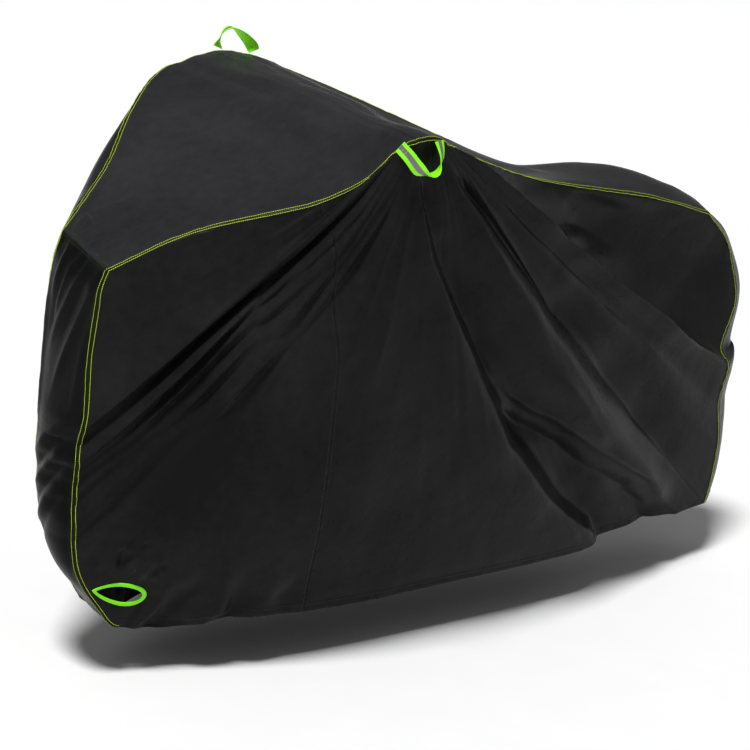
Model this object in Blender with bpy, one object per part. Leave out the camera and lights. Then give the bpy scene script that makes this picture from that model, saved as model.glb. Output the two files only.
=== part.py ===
"""Bicycle cover: a fitted cover of coated woven cloth, hollow, in the shape in which it is worn.

Frame: +X runs from the cover's front to its back, -Y is its left side and +Z is up. The origin lies on
the underside of the top, halfway along the ridge between the two shoulders, where the cover hangs.
The tables are in millimetres: x from the origin, y outwards from the middle, z above the floor.
Each side is a fan of ribs. A rib runs from the top seam down to its foot on the front seam, the hem or
the back seam, and the folds run down the fan. Share 0 of a rib is its top and share 1 its foot."""

import bpy
import bmesh
import numpy as np
from mathutils import Vector
from mathutils.bvhtree import BVHTree

MM = 0.001
TOP_BLACK = (0.026, 0.026, 0.030)
FRONT_BLACK = (0.016, 0.017, 0.017)
SIDE_BLACK = (0.014, 0.015, 0.014)
NEON_GREEN = (0.20, 0.80, 0.02)
CLOTH_ROUGHNESS = 0.42
CLOTH_SHEEN = 0.10
WEBBING_ROUGHNESS = 0.65

# Driving dimensions, in metres unless a name says otherwise
RIDGE_HEIGHT = 1.1080            # underside of the top at the middle of the ridge, above the floor
CLOTH = 0.0020                   # thickness of the draped cloth, with its coating
HEM = 0.0036                     # thickness of the turned hem
HEM_SHARE = 0.972                # share of a rib at which the hem begins
SEAM_GAP = 0.0003                # between two sewn pieces
MITRE_LIMIT = 0.2                # seams flatter than this share of a right angle get a plain edge
CLOTH_CREASE = 0.7               # angles in radians from which an edge is shaded sharp
BAND_CREASE = 0.6
SIDE_ROWS = 12                   # rows of faces from the top seam to the hem's upper edge
STRIP_COLUMNS = 6                # faces across the top and the front strip
JOIN_TOP = (-0.225, 0.985)       # x and height of the upright seam between a side's two pieces
JOIN_FOOT = (-0.048, 0.115)
WEBBING = (0.025, 0.0020)        # width and thickness of a loop's webbing
EYELET = (0.112, 0.054)          # length and height of an eyelet over its binding
EYELET_BINDING = (0.009, 0.0030) # width and thickness of that binding
EYELET_STEPS = 28
EYELET_FULLNESS = (1.15, 0.6)    # how wide it swells, and how soon behind its point
EYELET_MIDDLE = {"left": (-0.441, 0.184), "right": (-0.410, 0.190)}   # x and height
EYELET_LEAN = 6.0                # degrees that its round end is tipped down
EYELET_REACH = 0.05              # how far from an eyelet's plane its cloth may lie
INSIDE = (0.10, 0.0, -0.50)      # a place that the top and the front strip face away from
SPREAD = 0.065                   # distance between ribs from which their folds stand out in full
OUT_REACH = 0.65                 # ribs to each side of a point that set the way its folds stand out
BLOCK = 3.0                      # half the size of the blocks that part a side at its join

# The ribs of a side: steps to the next rib, top point, foot point, and how far the rib bows out and sags
FRONT_HEM_RIB = 8
BACK_HEM_RIB = 17
LEFT_RIBS = (
    # name                steps  top x  y    z     foot x  y    z   bow sag
    ("front corner",        2,  -544, 100,  824,  -544, 100,  824,   0,  0),
    ("brow",                3,  -410, 170,  904,  -559, 100,  772,   4,  0),
    ("temple",              4,  -215, 285,  977,  -559,  90,  667,   8,  0),
    ("upper cheek",         6,  -150, 332, 1029,  -553,  85,  551,  10,  2),
    ("front fold",          6,  -133, 366, 1076,  -559,  80,  484,   6,  4),
    ("second fold",         5,  -127, 374, 1087,  -555,  75,  385,   6,  4),
    ("lower cheek",         3,  -123, 379, 1092,  -534,  65,  251,  12,  4),
    ("chin",                2,  -115, 385, 1101,  -474,  60,  155,  16,  2),
    ("front hem",           2,  -110, 387, 1103,  -422,  60,  106,  20,  0),
    ("hem gathers",         2,  -102, 388, 1105,  -334,  85,   98,  24,  0),
    ("hem, front",          2,   -97, 390, 1108,  -200, 135,  116,  22,  0),
    ("join",                2,   -88, 390, 1109,   -42, 155,  109,  20,  0),
    ("hem, middle",         4,   -78, 390, 1110,   135, 160,  107,  20,  0),
    ("hem, behind middle",  5,   -69, 390, 1110,   396, 160,  112,  20,  0),
    ("hem, rear",           5,   -55, 388, 1108,   645, 150,  114,  18,  6),
    ("pouch",               4,   -45, 386, 1106,   863, 120,  119,  14, 12),
    ("hem tuck",            3,   -36, 384, 1103,  1073,  90,  137,  10, 16),
    ("back hem",            3,   -27, 380, 1098,  1189,  75,  135,   8, 18),
    ("back, low",           2,   -17, 378, 1093,  1209,  75,  265,   6, 16),
    ("back, middle",        5,    -9, 375, 1090,  1192,  77,  372,   4, 12),
    ("main ridge",          5,     4, 370, 1084,  1190,  88,  463,   4,  8),
    ("behind the ridge",    4,   133, 310, 1041,  1190,  72,  505,   0,  6),
    ("hump, front",         2,   437, 170,  954,  1206,  75,  604,   0,  0),
    ("hump, middle",        2,   627, 155,  921,  1170,  75,  700,   0,  0),
    ("hump, rear",          2,   802, 135,  890,  1130,  80,  760,   0,  0),
    ("back corner",         0,  1030, 104,  832,  1030, 104,  832,   0,  0),
)

# The right shoulder lies further back, and the top seam in front of it stands fuller
RIGHT_RIBS = (
    # name                steps  top x  y    z     foot x  y    z   bow sag
    ("front corner",        2,  -507, 100,  847,  -507, 100,  847,   0,  0),
    ("brow",                3,  -375, 168,  942,  -525,  98,  790,  20, -6),
    ("temple",              4,  -255, 268, 1027,  -535,  92,  680,  40, -8),
    ("upper cheek",         6,  -142, 360, 1070,  -538,  88,  565,  40, -4),
    ("front fold",          6,   -87, 385, 1087,  -540,  85,  490,  28,  0),
    ("second fold",         5,   -58, 387, 1092,  -538,  80,  390,  20,  2),
    ("lower cheek",         3,   -30, 392, 1100,  -510,  72,  262,  16,  4),
    ("chin",                2,    10, 396, 1107,  -462,  65,  178,  16,  2),
    ("front hem",           2,    24, 398, 1109,  -414,  62,  116,  20,  0),
    ("hem gathers",         2,    34, 399, 1111,  -330,  88,  100,  24,  0),
    ("hem, front",          2,    44, 400, 1111,  -200, 138,  114,  22,  0),
    ("join",                2,    54, 400, 1111,   -42, 160,  110,  20,  0),
    ("hem, middle",         4,    64, 400, 1110,   140, 165,  108,  20,  0),
    ("hem, behind middle",  5,    74, 400, 1110,   400, 165,  111,  20,  0),
    ("hem, rear",           5,    86, 400, 1108,   650, 150,  115,  18,  6),
    ("pouch",               4,    96, 398, 1106,   862, 122,  121,  14, 12),
    ("hem tuck",            3,   106, 396, 1104,  1072,  92,  134,  10, 16),
    ("back hem",            3,   116, 393, 1104,  1189,  75,  133,   8, 18),
    ("back, low",           2,   126, 390, 1102,  1207,  75,  260,   6, 16),
    ("back, middle",        5,   136, 386, 1099,  1198,  77,  368,   4, 12),
    ("main ridge",          5,   152, 378, 1093,  1192,  86,  470,   4,  8),
    ("behind the ridge",    4,   262, 300, 1052,  1194,  72,  520,   0,  6),
    ("hump, front",         2,   486, 178,  960,  1206,  75,  610,   0,  0),
    ("hump, middle",        2,   652, 150,  894,  1170,  75,  700,   0,  0),
    ("hump, rear",          2,   816, 137,  890,  1130,  80,  760,   0,  0),
    ("back corner",         0,  1030, 104,  832,  1030, 104,  832,   0,  0),
)

# The folds of a side: how far each stands out (or in, if negative), the ribs at its head and at its foot,
# the shares of the rib that it lives between, and the reach in ribs of its front and its back flank
LEFT_FOLDS = (
    # name               out   head   foot  from    to  front  back
    ("cheek ridge",       10,  3.30,  3.30,  0.00, 1.20, 0.50, 0.35),
    ("front valley",     -26,  4.00,  3.95,  0.00, 1.14, 0.30, 0.26),
    ("front ridge",       10,  4.50,  4.40,  0.00, 1.15, 0.18, 0.20),
    ("second valley",    -10,  4.90,  4.72,  0.10, 1.25, 0.20, 0.20),
    ("third valley",     -10,  5.50,  5.10,  0.15, 1.20, 0.20, 0.24),
    ("fourth valley",    -12,  6.05,  5.75,  0.25, 1.10, 0.30, 0.40),
    ("shoulder dart",     -7,  9.00,  8.80,  0.00, 0.45, 0.60, 0.60),
    ("front swell",       16,  9.50,  9.50,  0.20, 1.00, 2.50, 2.50),
    ("pouch edge",        10, 11.90, 14.40,  0.05, 1.10, 0.80, 0.35),
    ("pouch",            -30, 12.90, 15.10,  0.10, 1.05, 0.60, 0.70),
    ("lip",               18, 13.60, 16.20,  0.35, 1.00, 0.45, 0.50),
    ("long ridge",        20, 14.60, 16.30,  0.00, 0.95, 0.55, 0.70),
    ("long valley",      -22, 16.40, 17.50,  0.00, 1.00, 0.70, 0.80),
    ("back swell",        14, 17.90, 18.60,  0.15, 1.00, 0.80, 0.60),
    ("main ridge",        14, 19.90, 19.90,  0.00, 1.15, 0.60, 0.20),
    ("recess",           -44, 20.50, 20.65,  0.02, 1.10, 0.34, 2.00),
)
RIGHT_FOLDS = (
    # name               out   head   foot  from    to  front  back
    ("cheek ridge",        8,  3.10,  3.20,  0.00, 1.20, 0.50, 0.35),
    ("front valley",     -20,  3.90,  3.85,  0.00, 1.14, 0.32, 0.30),
    ("front ridge",        8,  4.60,  4.45,  0.00, 1.15, 0.22, 0.22),
    ("second valley",    -12,  5.10,  4.90,  0.10, 1.25, 0.24, 0.26),
    ("third valley",     -10,  6.20,  6.00,  0.20, 1.10, 0.35, 0.40),
    ("front swell",       18, 10.00,  9.20,  0.20, 1.00, 2.40, 2.40),
    ("middle dart",      -12, 11.60, 12.40,  0.00, 0.80, 0.50, 0.60),
    ("pouch edge",        10, 12.60, 14.60,  0.05, 1.10, 0.80, 0.40),
    ("pouch",            -26, 13.60, 15.20,  0.10, 1.05, 0.60, 0.75),
    ("long ridge",        18, 15.10, 16.50,  0.00, 0.95, 0.60, 0.70),
    ("long valley",      -20, 16.70, 17.60,  0.00, 1.00, 0.65, 0.80),
    ("back swell",        12, 18.20, 18.70,  0.15, 1.00, 0.80, 0.60),
    ("main ridge",        13, 19.90, 19.90,  0.00, 1.15, 0.60, 0.20),
    ("recess",           -40, 20.55, 20.70,  0.02, 1.10, 0.38, 2.00),
)
FADE = 0.30                      # share of a fold's length over which it grows or dies away

# Station on the seams of the top piece, and how far its middle stands above them. Stations follow the ribs'
# tops to the back corner, and from there down the back seam, which is read from the last rib back.
TOP_CROWN = (
    # station   crown
    (0.0,          0),
    (1.0,          6),
    (3.0,          2),
    (5.0,          0),
    (20.0,        -2),
    (21.0,       -20),
    (21.7,       -12),
    (22.0,        -2),
    (22.5,         5),
    (23.0,        22),
    (23.5,        38),
    (24.0,        44),
    (24.5,        34),
    (25.0,        22),
    (26.0,        38),
    (27.0,        47),
    (28.0,        60),
    (29.0,        74),
    (30.0,        79),
    (31.0,        75),
    (32.0,        72),
    (33.0,        58),
)

# The front strip runs down from the cross seam; its stations are the ribs that end on the front seams
FRONT_CROWN = (
    # station   crown
    (0.0,          0),
    (1.0,         10),
    (3.0,         20),
    (5.0,         22),
    (6.0,         17),
    (7.0,          8),
    (8.0,          4),
)

# The folds of the front strip, each from one place to another: share of the width from the left seam,
# and station. The reach is a share of the width.
FRONT_FOLDS = (
    # name               out  width station width station reach
    ("left corner fold",   9, 0.02,  0.10,  0.95,  3.80,  0.10),
    ("right corner fold",  9, 0.97,  0.30,  0.66,  2.60,  0.10),
    ("corner hollow",     -8, 0.60,  0.20,  0.50,  3.00,  0.14),
)

# A loop's webbing: x, y outwards and height of its middle line, and the way its width points there.
# The left loop hangs from the seam, and the right one is turned up.
LEFT_LOOP = (
    # x    out  height   width x  out   up
    (-139, 386, 1096,    0.80,  0.00,  0.60),
    (-124, 397, 1079,    0.75,  0.06,  0.66),
    (-109, 402, 1062,    0.70,  0.25,  0.60),
    ( -95, 405, 1050,    0.45,  0.75,  0.35),
    ( -79, 406, 1044,    0.05,  1.00,  0.05),
    ( -64, 406, 1048,   -0.30,  0.95, -0.05),
    ( -54, 404, 1060,   -0.60,  0.78,  0.00),
    ( -50, 402, 1076,   -0.80,  0.55,  0.12),
    ( -50, 397, 1091,   -0.90,  0.25,  0.25),
    ( -52, 392, 1104,   -0.94,  0.02,  0.30),
)
RIGHT_LOOP = (
    # x    out  height   width x  out   up
    (  46, 403, 1118,    1.00,  0.00,  0.00),
    (  51, 406, 1131,    0.85, -0.50,  0.10),
    (  58, 408, 1144,    0.50, -0.85,  0.15),
    (  69, 408, 1154,    0.15, -1.00,  0.10),
    (  83, 408, 1157,    0.00, -1.00,  0.05),
    (  99, 408, 1150,    0.00, -1.00,  0.00),
    ( 114, 408, 1139,   -0.10, -1.00,  0.00),
    ( 128, 407, 1127,   -0.30, -0.95,  0.00),
    ( 137, 405, 1116,   -0.75, -0.65,  0.00),
    ( 140, 403, 1108,   -1.00, -0.10,  0.10),
)


def smooth_through(values, at):
    """A cubic through one value per rib, which never overshoots, read at fractional rib numbers."""
    values = np.asarray(values, float)
    rise = np.diff(values)
    before, after = rise[:-1], rise[1:]
    slope = np.concatenate((rise[:1], np.zeros(len(values) - 2), rise[-1:]))
    same_way = before * after > 0.0
    total = np.where(same_way, before + after, 1.0)
    slope[1:-1] = np.where(same_way, 2.0 * before * after / total, 0.0)
    start = np.clip(at.astype(int), 0, len(values) - 2)
    t = at - start
    return ((2 * t**3 - 3 * t**2 + 1) * values[start] + (t**3 - 2 * t**2 + t) * slope[start]
            + (3 * t**2 - 2 * t**3) * values[start + 1] + (t**3 - t**2) * slope[start + 1])


def ease(t):
    """Rises smoothly from 0 at t = 0 to 1 at t = 1."""
    t = np.clip(t, 0.0, 1.0)
    return t * t * (3.0 - 2.0 * t)


def unit(vectors):
    length = np.linalg.norm(vectors, axis=-1, keepdims=True)
    return vectors / np.maximum(length, 1e-9)


def grid_normals(points):
    """Unit normals of a grid of points; a column that shrinks to a point takes its neighbour's."""
    normals = unit(np.cross(np.gradient(points, axis=0), np.gradient(points, axis=1)))
    normals[0], normals[-1] = normals[1], normals[-2]
    return normals


def ways_out(points, rib, side):
    """Unit ways out of a side, taken across a stretch of ribs so that deep folds don't close on themselves."""
    ahead = np.minimum(np.searchsorted(rib, rib + OUT_REACH), len(rib) - 1)
    behind = np.searchsorted(rib, rib - OUT_REACH)
    return side * unit(np.cross(points[ahead] - points[behind], np.gradient(points, axis=1)))


def rib_numbers(ribs):
    """Where the columns of faces start and end, as fractional rib numbers."""
    numbers = [rib + step / row[1] for rib, row in enumerate(ribs[:-1]) for step in range(row[1])]
    return np.array(numbers + [len(ribs) - 1.0])


def shares():
    """Where the rows of faces start and end; the last row is the hem."""
    return np.append(np.linspace(0.0, HEM_SHARE, SIDE_ROWS), 1.0)


def fold_relief(folds, rib, share):
    """How far the folds push each point of a side out, in metres."""
    relief = np.zeros((len(rib), len(share)))
    for _, out, head, foot, start, end, front, back in folds:
        away = rib[:, None] - (head + (foot - head) * share[None, :])
        reach = np.where(away < 0.0, front, back)
        fade = FADE * (end - start)
        life = ease((share - start) / fade) * ease((end - share) / fade)
        relief += out * MM * life[None, :] * np.exp(-(away / reach) ** 2)
    ends = ease(rib) * ease(len(LEFT_RIBS) - 1 - rib)
    return relief * ends[:, None]


def side_points(ribs, folds, side):
    """The middle of a side's cloth as a grid of points, columns by rib and rows by share. side is -1 on the
    left and 1 on the right."""
    rib, share = rib_numbers(ribs), shares()
    sizes = [smooth_through([row[column] * MM for row in ribs], rib) for column in range(2, 10)]
    top = np.stack((sizes[0], side * sizes[1], sizes[2] - RIDGE_HEIGHT), -1)[:, None, :]
    foot = np.stack((sizes[3], side * sizes[4], sizes[5] - RIDGE_HEIGHT), -1)[:, None, :]
    arch = (4.0 * share * (1.0 - share))[None, :, None]
    bow = np.stack((0.0 * rib, side * sizes[6], -sizes[7]), -1)[:, None, :]
    points = top + (foot - top) * share[None, :, None] + arch * bow
    apart = np.linalg.norm(np.gradient(points, rib, axis=0), axis=-1, keepdims=True)
    relief = fold_relief(folds, rib, share)[..., None] * np.minimum(apart / SPREAD, 1.0)
    return points + ways_out(points, rib, side) * relief


def outward(ways, points):
    """The ways, turned where needed so that they lead out of the cover."""
    leads_out = np.sum(ways * (points - np.array(INSIDE)), axis=-1, keepdims=True) > 0.0
    return np.where(leads_out, ways, -ways)


def strip_points(left, right, station, crown_table):
    """A strip of cloth between two seams, crowned across by its table."""
    table = np.array(crown_table, float)
    crown = np.interp(station, table[:, 0], table[:, 1] * MM)
    across = np.linspace(0.0, 1.0, STRIP_COLUMNS + 1)[None, :, None]
    points = left[:, None, :] + (right - left)[:, None, :] * across
    middle = 0.5 * (left + right)
    out = outward(unit(np.cross(right - left, np.gradient(middle, axis=0))), middle)
    arch = 1.0 - (2.0 * across - 1.0) ** 2
    return points + out[:, None, :] * arch * crown[:, None, None]


def front_relief(station):
    """How far the folds push each point of the front strip out, in metres."""
    across = np.linspace(0.0, 1.0, STRIP_COLUMNS + 1)
    place = np.stack(np.broadcast_arrays(across[None, :], station[:, None] / FRONT_HEM_RIB), -1)
    relief = np.zeros(place.shape[:2])
    for _, out, from_width, from_station, to_width, to_station, reach in FRONT_FOLDS:
        start = np.array((from_width, from_station / FRONT_HEM_RIB))
        run = np.array((to_width, to_station / FRONT_HEM_RIB)) - start
        along = np.clip(((place - start) @ run) / (run @ run), 0.0, 1.0)
        away = np.linalg.norm(place - start - along[..., None] * run, axis=-1)
        relief += out * MM * np.exp(-(away / reach) ** 2)
    edges = np.sin(np.pi * across)[None, :] * ease(station)[:, None]
    return relief * edges


def grid_mesh(points, turned):
    """A sheet's middle as a bmesh of triangles. turned flips the way its faces look."""
    mesh = bmesh.new()
    known = {}

    def vertex(point):
        key = tuple(np.round(point, 7))
        if key not in known:
            known[key] = mesh.verts.new(point)
        return known[key]

    grid = [[vertex(point) for point in column] for column in points]
    for left, right in zip(grid[:-1], grid[1:]):
        for row in range(len(left) - 1):
            corners = (left[row], left[row + 1], right[row + 1], right[row])
            corners = corners[::-1] if turned else corners
            for triple in (corners[:3], corners[2:] + corners[:1]):
                if len(set(triple)) == 3:
                    mesh.faces.new(triple)
    mesh.normal_update()
    return mesh


def place_key(vertex):
    return tuple(round(value, 5) for value in vertex.co)


def inward(vertex, shared):
    """The way from a seam point into its own cloth, so long that both of its seam edges move by one unit."""
    ways = []
    for edge in vertex.link_edges:
        if len(edge.link_faces) == 1 and all(place_key(end) in shared for end in edge.verts):
            face = edge.link_faces[0]
            run = (edge.verts[1].co - edge.verts[0].co).normalized()
            way = face.normal.cross(run)
            middle = 0.5 * (edge.verts[0].co + edge.verts[1].co)
            ways.append(way if way.dot(face.calc_center_median() - middle) > 0.0 else -way)
    if not ways:
        return Vector()
    total = sum(ways, Vector())
    return total * (len(ways) / max(total.length_squared, 0.5))


def thick_sheets(middles, hem_keys):
    """Closed sheets around their middles. Pieces that share a seam meet in a mitre, the seam gap apart."""
    normals = {}
    for mesh in middles.values():
        for vertex in mesh.verts:
            if vertex.is_boundary:
                normals.setdefault(place_key(vertex), []).append(np.array(vertex.normal))
    shared = {key for key, found in normals.items() if len(found) > 1}
    sheets = {}
    for name, mesh in middles.items():
        outer, inner = [], []
        mesh.verts.index_update()
        for vertex in mesh.verts:
            key = place_key(vertex)
            half = 0.5 * (HEM if key in hem_keys else CLOTH)
            planes = np.array(normals.get(key, [np.array(vertex.normal)]))
            offset = Vector(np.linalg.lstsq(planes, np.full(len(planes), half), rcond=MITRE_LIMIT)[0])
            step = 0.5 * SEAM_GAP * inward(vertex, shared) if key in shared else Vector()
            outer.append(vertex.co + step + offset)
            inner.append(vertex.co + step - offset)
        count = len(outer)
        faces = [[vertex.index for vertex in face.verts] for face in mesh.faces]
        faces += [[index + count for index in reversed(face)] for face in faces]
        for edge in mesh.edges:
            if len(edge.link_faces) == 1:
                loop = edge.link_loops[0]
                start, end = loop.vert, loop.link_loop_next.vert
                corners = [end.index, start.index, start.index + count, end.index + count]
                if place_key(start) < place_key(end):
                    corners = corners[1:] + corners[:1]
                faces += [corners[:3], corners[2:] + corners[:1]]
        sheets[name] = (outer + inner, faces)
    return sheets


def material(name, color, roughness, sheen=0.0):
    made = bpy.data.materials.new(name)
    made.use_nodes = True
    shader = made.node_tree.nodes["Principled BSDF"]
    shader.inputs["Base Color"].default_value = (*color, 1.0)
    shader.inputs["Roughness"].default_value = roughness
    shader.inputs["Metallic"].default_value = 0.0
    shader.inputs["Sheen Weight"].default_value = sheen
    return made


def add_object(name, points, faces, finish, crease=CLOTH_CREASE):
    mesh = bpy.data.meshes.new(name)
    mesh.from_pydata([tuple(point) for point in points], [], faces)
    mesh.validate()
    mesh.shade_smooth()
    mesh.set_sharp_from_angle(angle=crease)
    mesh.materials.append(finish)
    made = bpy.data.objects.new(name, mesh)
    bpy.context.collection.objects.link(made)
    return made


def add_loop(name, rows, side, finish):
    """A loop of webbing, as a flat band swept along its middle line."""
    table = np.array(rows, float)
    line = np.stack((table[:, 0] * MM, side * table[:, 1] * MM, table[:, 2] * MM - RIDGE_HEIGHT), -1)
    width = unit(np.stack((table[:, 3], side * table[:, 4], table[:, 5]), -1))
    along = unit(np.gradient(line, axis=0))
    width = unit(width - along * np.sum(width * along, axis=1, keepdims=True))
    through = np.cross(along, width)
    points, faces = [], []
    for spot, wide, thin in zip(line, width * WEBBING[0] / 2, through * WEBBING[1] / 2):
        points += [spot - wide - thin, spot + wide - thin, spot + wide + thin, spot - wide + thin]
    for ring in range(len(rows) - 1):
        for corner in range(4):
            a, b = 4 * ring + corner, 4 * ring + (corner + 1) % 4
            faces.append([a, b, b + 4, a + 4])
    last = 4 * (len(rows) - 1)
    faces += [[3, 2, 1, 0], [last, last + 1, last + 2, last + 3]]
    return add_object(name, points, faces, finish, crease=BAND_CREASE)


def cut_with(thing, cutter):
    """Takes the cutter's space out of a thing."""
    cutter.hide_render = True
    cutter.display_type = "WIRE"
    cut = thing.modifiers.new("cut", "BOOLEAN")
    cut.operation = "DIFFERENCE"
    cut.object = cutter


def join_cutters(finish):
    """Two blocks, one either side of the upright join, that leave a side's rear and its front piece."""
    top = Vector((JOIN_TOP[0], 0.0, JOIN_TOP[1] - RIDGE_HEIGHT))
    foot = Vector((JOIN_FOOT[0], 0.0, JOIN_FOOT[1] - RIDGE_HEIGHT))
    down = (foot - top).normalized()
    rearward = Vector((-down.z, 0.0, down.x))
    cutters = {}
    for half, way in (("_front", rearward), ("_rear", -rearward)):
        near = foot - way * SEAM_GAP / 2
        points = []
        for spot in (near, near + way * BLOCK):
            for y, z in ((-1, -1), (1, -1), (1, 1), (-1, 1)):
                points.append(spot + Vector((0.0, y * BLOCK, 0.0)) + down * z * BLOCK)
        faces = [[3, 2, 1, 0], [4, 5, 6, 7], [0, 1, 5, 4], [1, 2, 6, 5], [2, 3, 7, 6], [3, 0, 4, 7]]
        cutters[half] = add_object("join_cutter" + half, points, faces, finish)
        fix_facing(cutters[half])
    return cutters


def eyelet_outline(inset):
    """The outline of an eyelet about its middle, along its length and height: pointed in front, round behind."""
    turn = np.linspace(0.0, 2.0 * np.pi, EYELET_STEPS, endpoint=False)
    length, height = EYELET[0] / 2 - inset, EYELET[1] / 2 - inset
    swell = EYELET_FULLNESS[0] * np.sin(turn / 2) ** EYELET_FULLNESS[1]
    return np.stack((-length * np.cos(turn), height * np.sin(turn) * swell), -1)


def eyelet_frame(name, side, tree):
    """The middle of an eyelet on its side's cloth, with its length, height and outward ways."""
    x, height = EYELET_MIDDLE[name]
    start = Vector((x, side, height - RIDGE_HEIGHT))
    middle, outward = tree.ray_cast(start, Vector((0.0, -side, 0.0)))[:2]
    outward = outward if outward.y * side > 0.0 else -outward
    lean = np.radians(EYELET_LEAN)
    length_way = Vector((np.cos(lean), 0.0, -np.sin(lean)))
    length_way = (length_way - outward * outward.dot(length_way)).normalized()
    return middle, length_way, outward.cross(length_way) * side, outward


def add_eyelet(name, side, tree, cloth, finish):
    """Cuts an eyelet through the cloth and fits its binding ring into the cut."""
    middle, length_way, height_way, outward = eyelet_frame(name, side, tree)

    def ring(inset):
        return [middle + length_way * a + height_way * b for a, b in eyelet_outline(inset)]

    def on_cloth(point):
        hit = tree.ray_cast(point + outward * EYELET_REACH, -outward, 2 * EYELET_REACH)[0]
        return hit if hit else point

    half = EYELET_BINDING[1] / 2
    points, faces = [], []
    for inset, lift in ((0.0, half), (0.0, -half), (EYELET_BINDING[0], -half), (EYELET_BINDING[0], half)):
        points += [on_cloth(point) + outward * lift for point in ring(inset)]
    for band in range(4):
        for step in range(EYELET_STEPS):
            a, b = band * EYELET_STEPS, (band + 1) % 4 * EYELET_STEPS
            after = (step + 1) % EYELET_STEPS
            faces.append([a + step, b + step, b + after, a + after])
    binding = add_object("eyelet_" + name, points, faces, finish)
    fix_facing(binding)

    cutter_points, count = [], EYELET_STEPS
    for lift in (EYELET_REACH, -EYELET_REACH):
        cutter_points += [point + outward * lift for point in ring(-SEAM_GAP)]
    cutter_faces = [list(range(count)), [count + index for index in reversed(range(count))]]
    for step in range(count):
        after = (step + 1) % count
        cutter_faces.append([step, step + count, after + count, after])
    cutter = add_object("eyelet_" + name + "_cutter", cutter_points, cutter_faces, finish)
    fix_facing(cutter)
    cut_with(cloth, cutter)
    return binding


def fix_facing(thing):
    """Turns all faces of a closed mesh outwards."""
    mesh = bmesh.new()
    mesh.from_mesh(thing.data)
    bmesh.ops.recalc_face_normals(mesh, faces=mesh.faces[:])
    mesh.to_mesh(thing.data)
    mesh.free()


def clear_scene():
    for thing in list(bpy.data.objects):
        bpy.data.objects.remove(thing)


def build():
    clear_scene()
    left = side_points(LEFT_RIBS, LEFT_FOLDS, -1.0)
    right = side_points(RIGHT_RIBS, RIGHT_FOLDS, 1.0)
    rib = rib_numbers(LEFT_RIBS)

    # The seams of the top piece: along the ribs' tops, then down the back seam from the back corner
    last = len(LEFT_RIBS) - 1
    back = np.nonzero((rib >= BACK_HEM_RIB) & (rib < last))[0][::-1]
    station = np.concatenate((rib, 2 * last - rib[back]))
    top_left = np.concatenate((left[:, 0], left[back, -1]))
    top_right = np.concatenate((right[:, 0], right[back, -1]))
    top = strip_points(top_left, top_right, station, TOP_CROWN)

    # The front strip runs between the feet of the first ribs
    in_front = np.nonzero(rib <= FRONT_HEM_RIB)[0]
    front = strip_points(left[in_front, -1], right[in_front, -1], rib[in_front], FRONT_CROWN)
    front += outward(grid_normals(front), front) * front_relief(rib[in_front])[..., None]

    middles = {"top_panel": grid_mesh(top, True), "front_panel": grid_mesh(front, False)}
    trees = {}
    for name, points, side in (("left", left, -1.0), ("right", right, 1.0)):
        whole = grid_mesh(points, side > 0.0)
        trees[name] = BVHTree.FromBMesh(whole)
        middles["side_" + name] = whole

    hem_keys = set()
    hem = np.nonzero((rib >= FRONT_HEM_RIB) & (rib <= BACK_HEM_RIB))[0]
    for points in (left[hem, -1], right[hem, -1], front[-1], top[-1]):
        hem_keys |= {tuple(round(float(np.float32(value)), 5) for value in point) for point in points}

    black = {
        "top_panel": material("cloth_top", TOP_BLACK, CLOTH_ROUGHNESS, CLOTH_SHEEN),
        "front_panel": material("cloth_front", FRONT_BLACK, CLOTH_ROUGHNESS, CLOTH_SHEEN),
        "side_left_front": material("cloth_left_front", SIDE_BLACK, CLOTH_ROUGHNESS, CLOTH_SHEEN),
        "side_left_rear": material("cloth_left_rear", SIDE_BLACK, CLOTH_ROUGHNESS, CLOTH_SHEEN),
        "side_right_front": material("cloth_right_front", SIDE_BLACK, CLOTH_ROUGHNESS, CLOTH_SHEEN),
        "side_right_rear": material("cloth_right_rear", SIDE_BLACK, CLOTH_ROUGHNESS, CLOTH_SHEEN),
    }
    halves = join_cutters(black["top_panel"])
    made = {}
    for name, (points, faces) in thick_sheets(middles, hem_keys).items():
        if name in black:
            made[name] = add_object(name, points, faces, black[name])
            continue
        for half, cutter in halves.items():
            piece = name + half
            made[piece] = add_object(piece, points, faces, black[piece])
            cut_with(made[piece], cutter)

    for name, side, rows in (("left", -1.0, LEFT_LOOP), ("right", 1.0, RIGHT_LOOP)):
        webbing = material("webbing_" + name, NEON_GREEN, WEBBING_ROUGHNESS)
        fix_facing(add_loop("loop_" + name, rows, side, webbing))
        ribbon = material("binding_" + name, NEON_GREEN, WEBBING_ROUGHNESS)
        add_eyelet(name, side, trees[name], made["side_" + name + "_front"], ribbon)


build()
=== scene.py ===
"""Bicycle cover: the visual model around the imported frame. Metres, +X to the back, -Y left, +Z up."""

from contextlib import contextmanager

import bmesh
import bpy
import numpy as np
from mathutils import Matrix, Vector
from mathutils.bvhtree import BVHTree


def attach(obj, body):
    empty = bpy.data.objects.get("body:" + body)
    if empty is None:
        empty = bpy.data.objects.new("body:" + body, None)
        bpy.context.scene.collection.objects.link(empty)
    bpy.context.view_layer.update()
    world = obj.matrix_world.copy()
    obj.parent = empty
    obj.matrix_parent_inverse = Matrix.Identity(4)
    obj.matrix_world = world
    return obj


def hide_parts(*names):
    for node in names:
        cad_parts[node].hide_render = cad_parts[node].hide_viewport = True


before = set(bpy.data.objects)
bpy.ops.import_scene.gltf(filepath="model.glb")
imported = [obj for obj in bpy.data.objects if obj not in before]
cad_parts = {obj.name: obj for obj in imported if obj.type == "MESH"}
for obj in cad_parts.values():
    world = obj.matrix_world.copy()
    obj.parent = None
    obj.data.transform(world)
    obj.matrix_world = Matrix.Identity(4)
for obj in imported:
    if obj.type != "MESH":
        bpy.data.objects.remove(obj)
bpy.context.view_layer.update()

MM = 0.001
RIDGE_HEIGHT = 1.1080            # the origin above the floor
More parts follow.
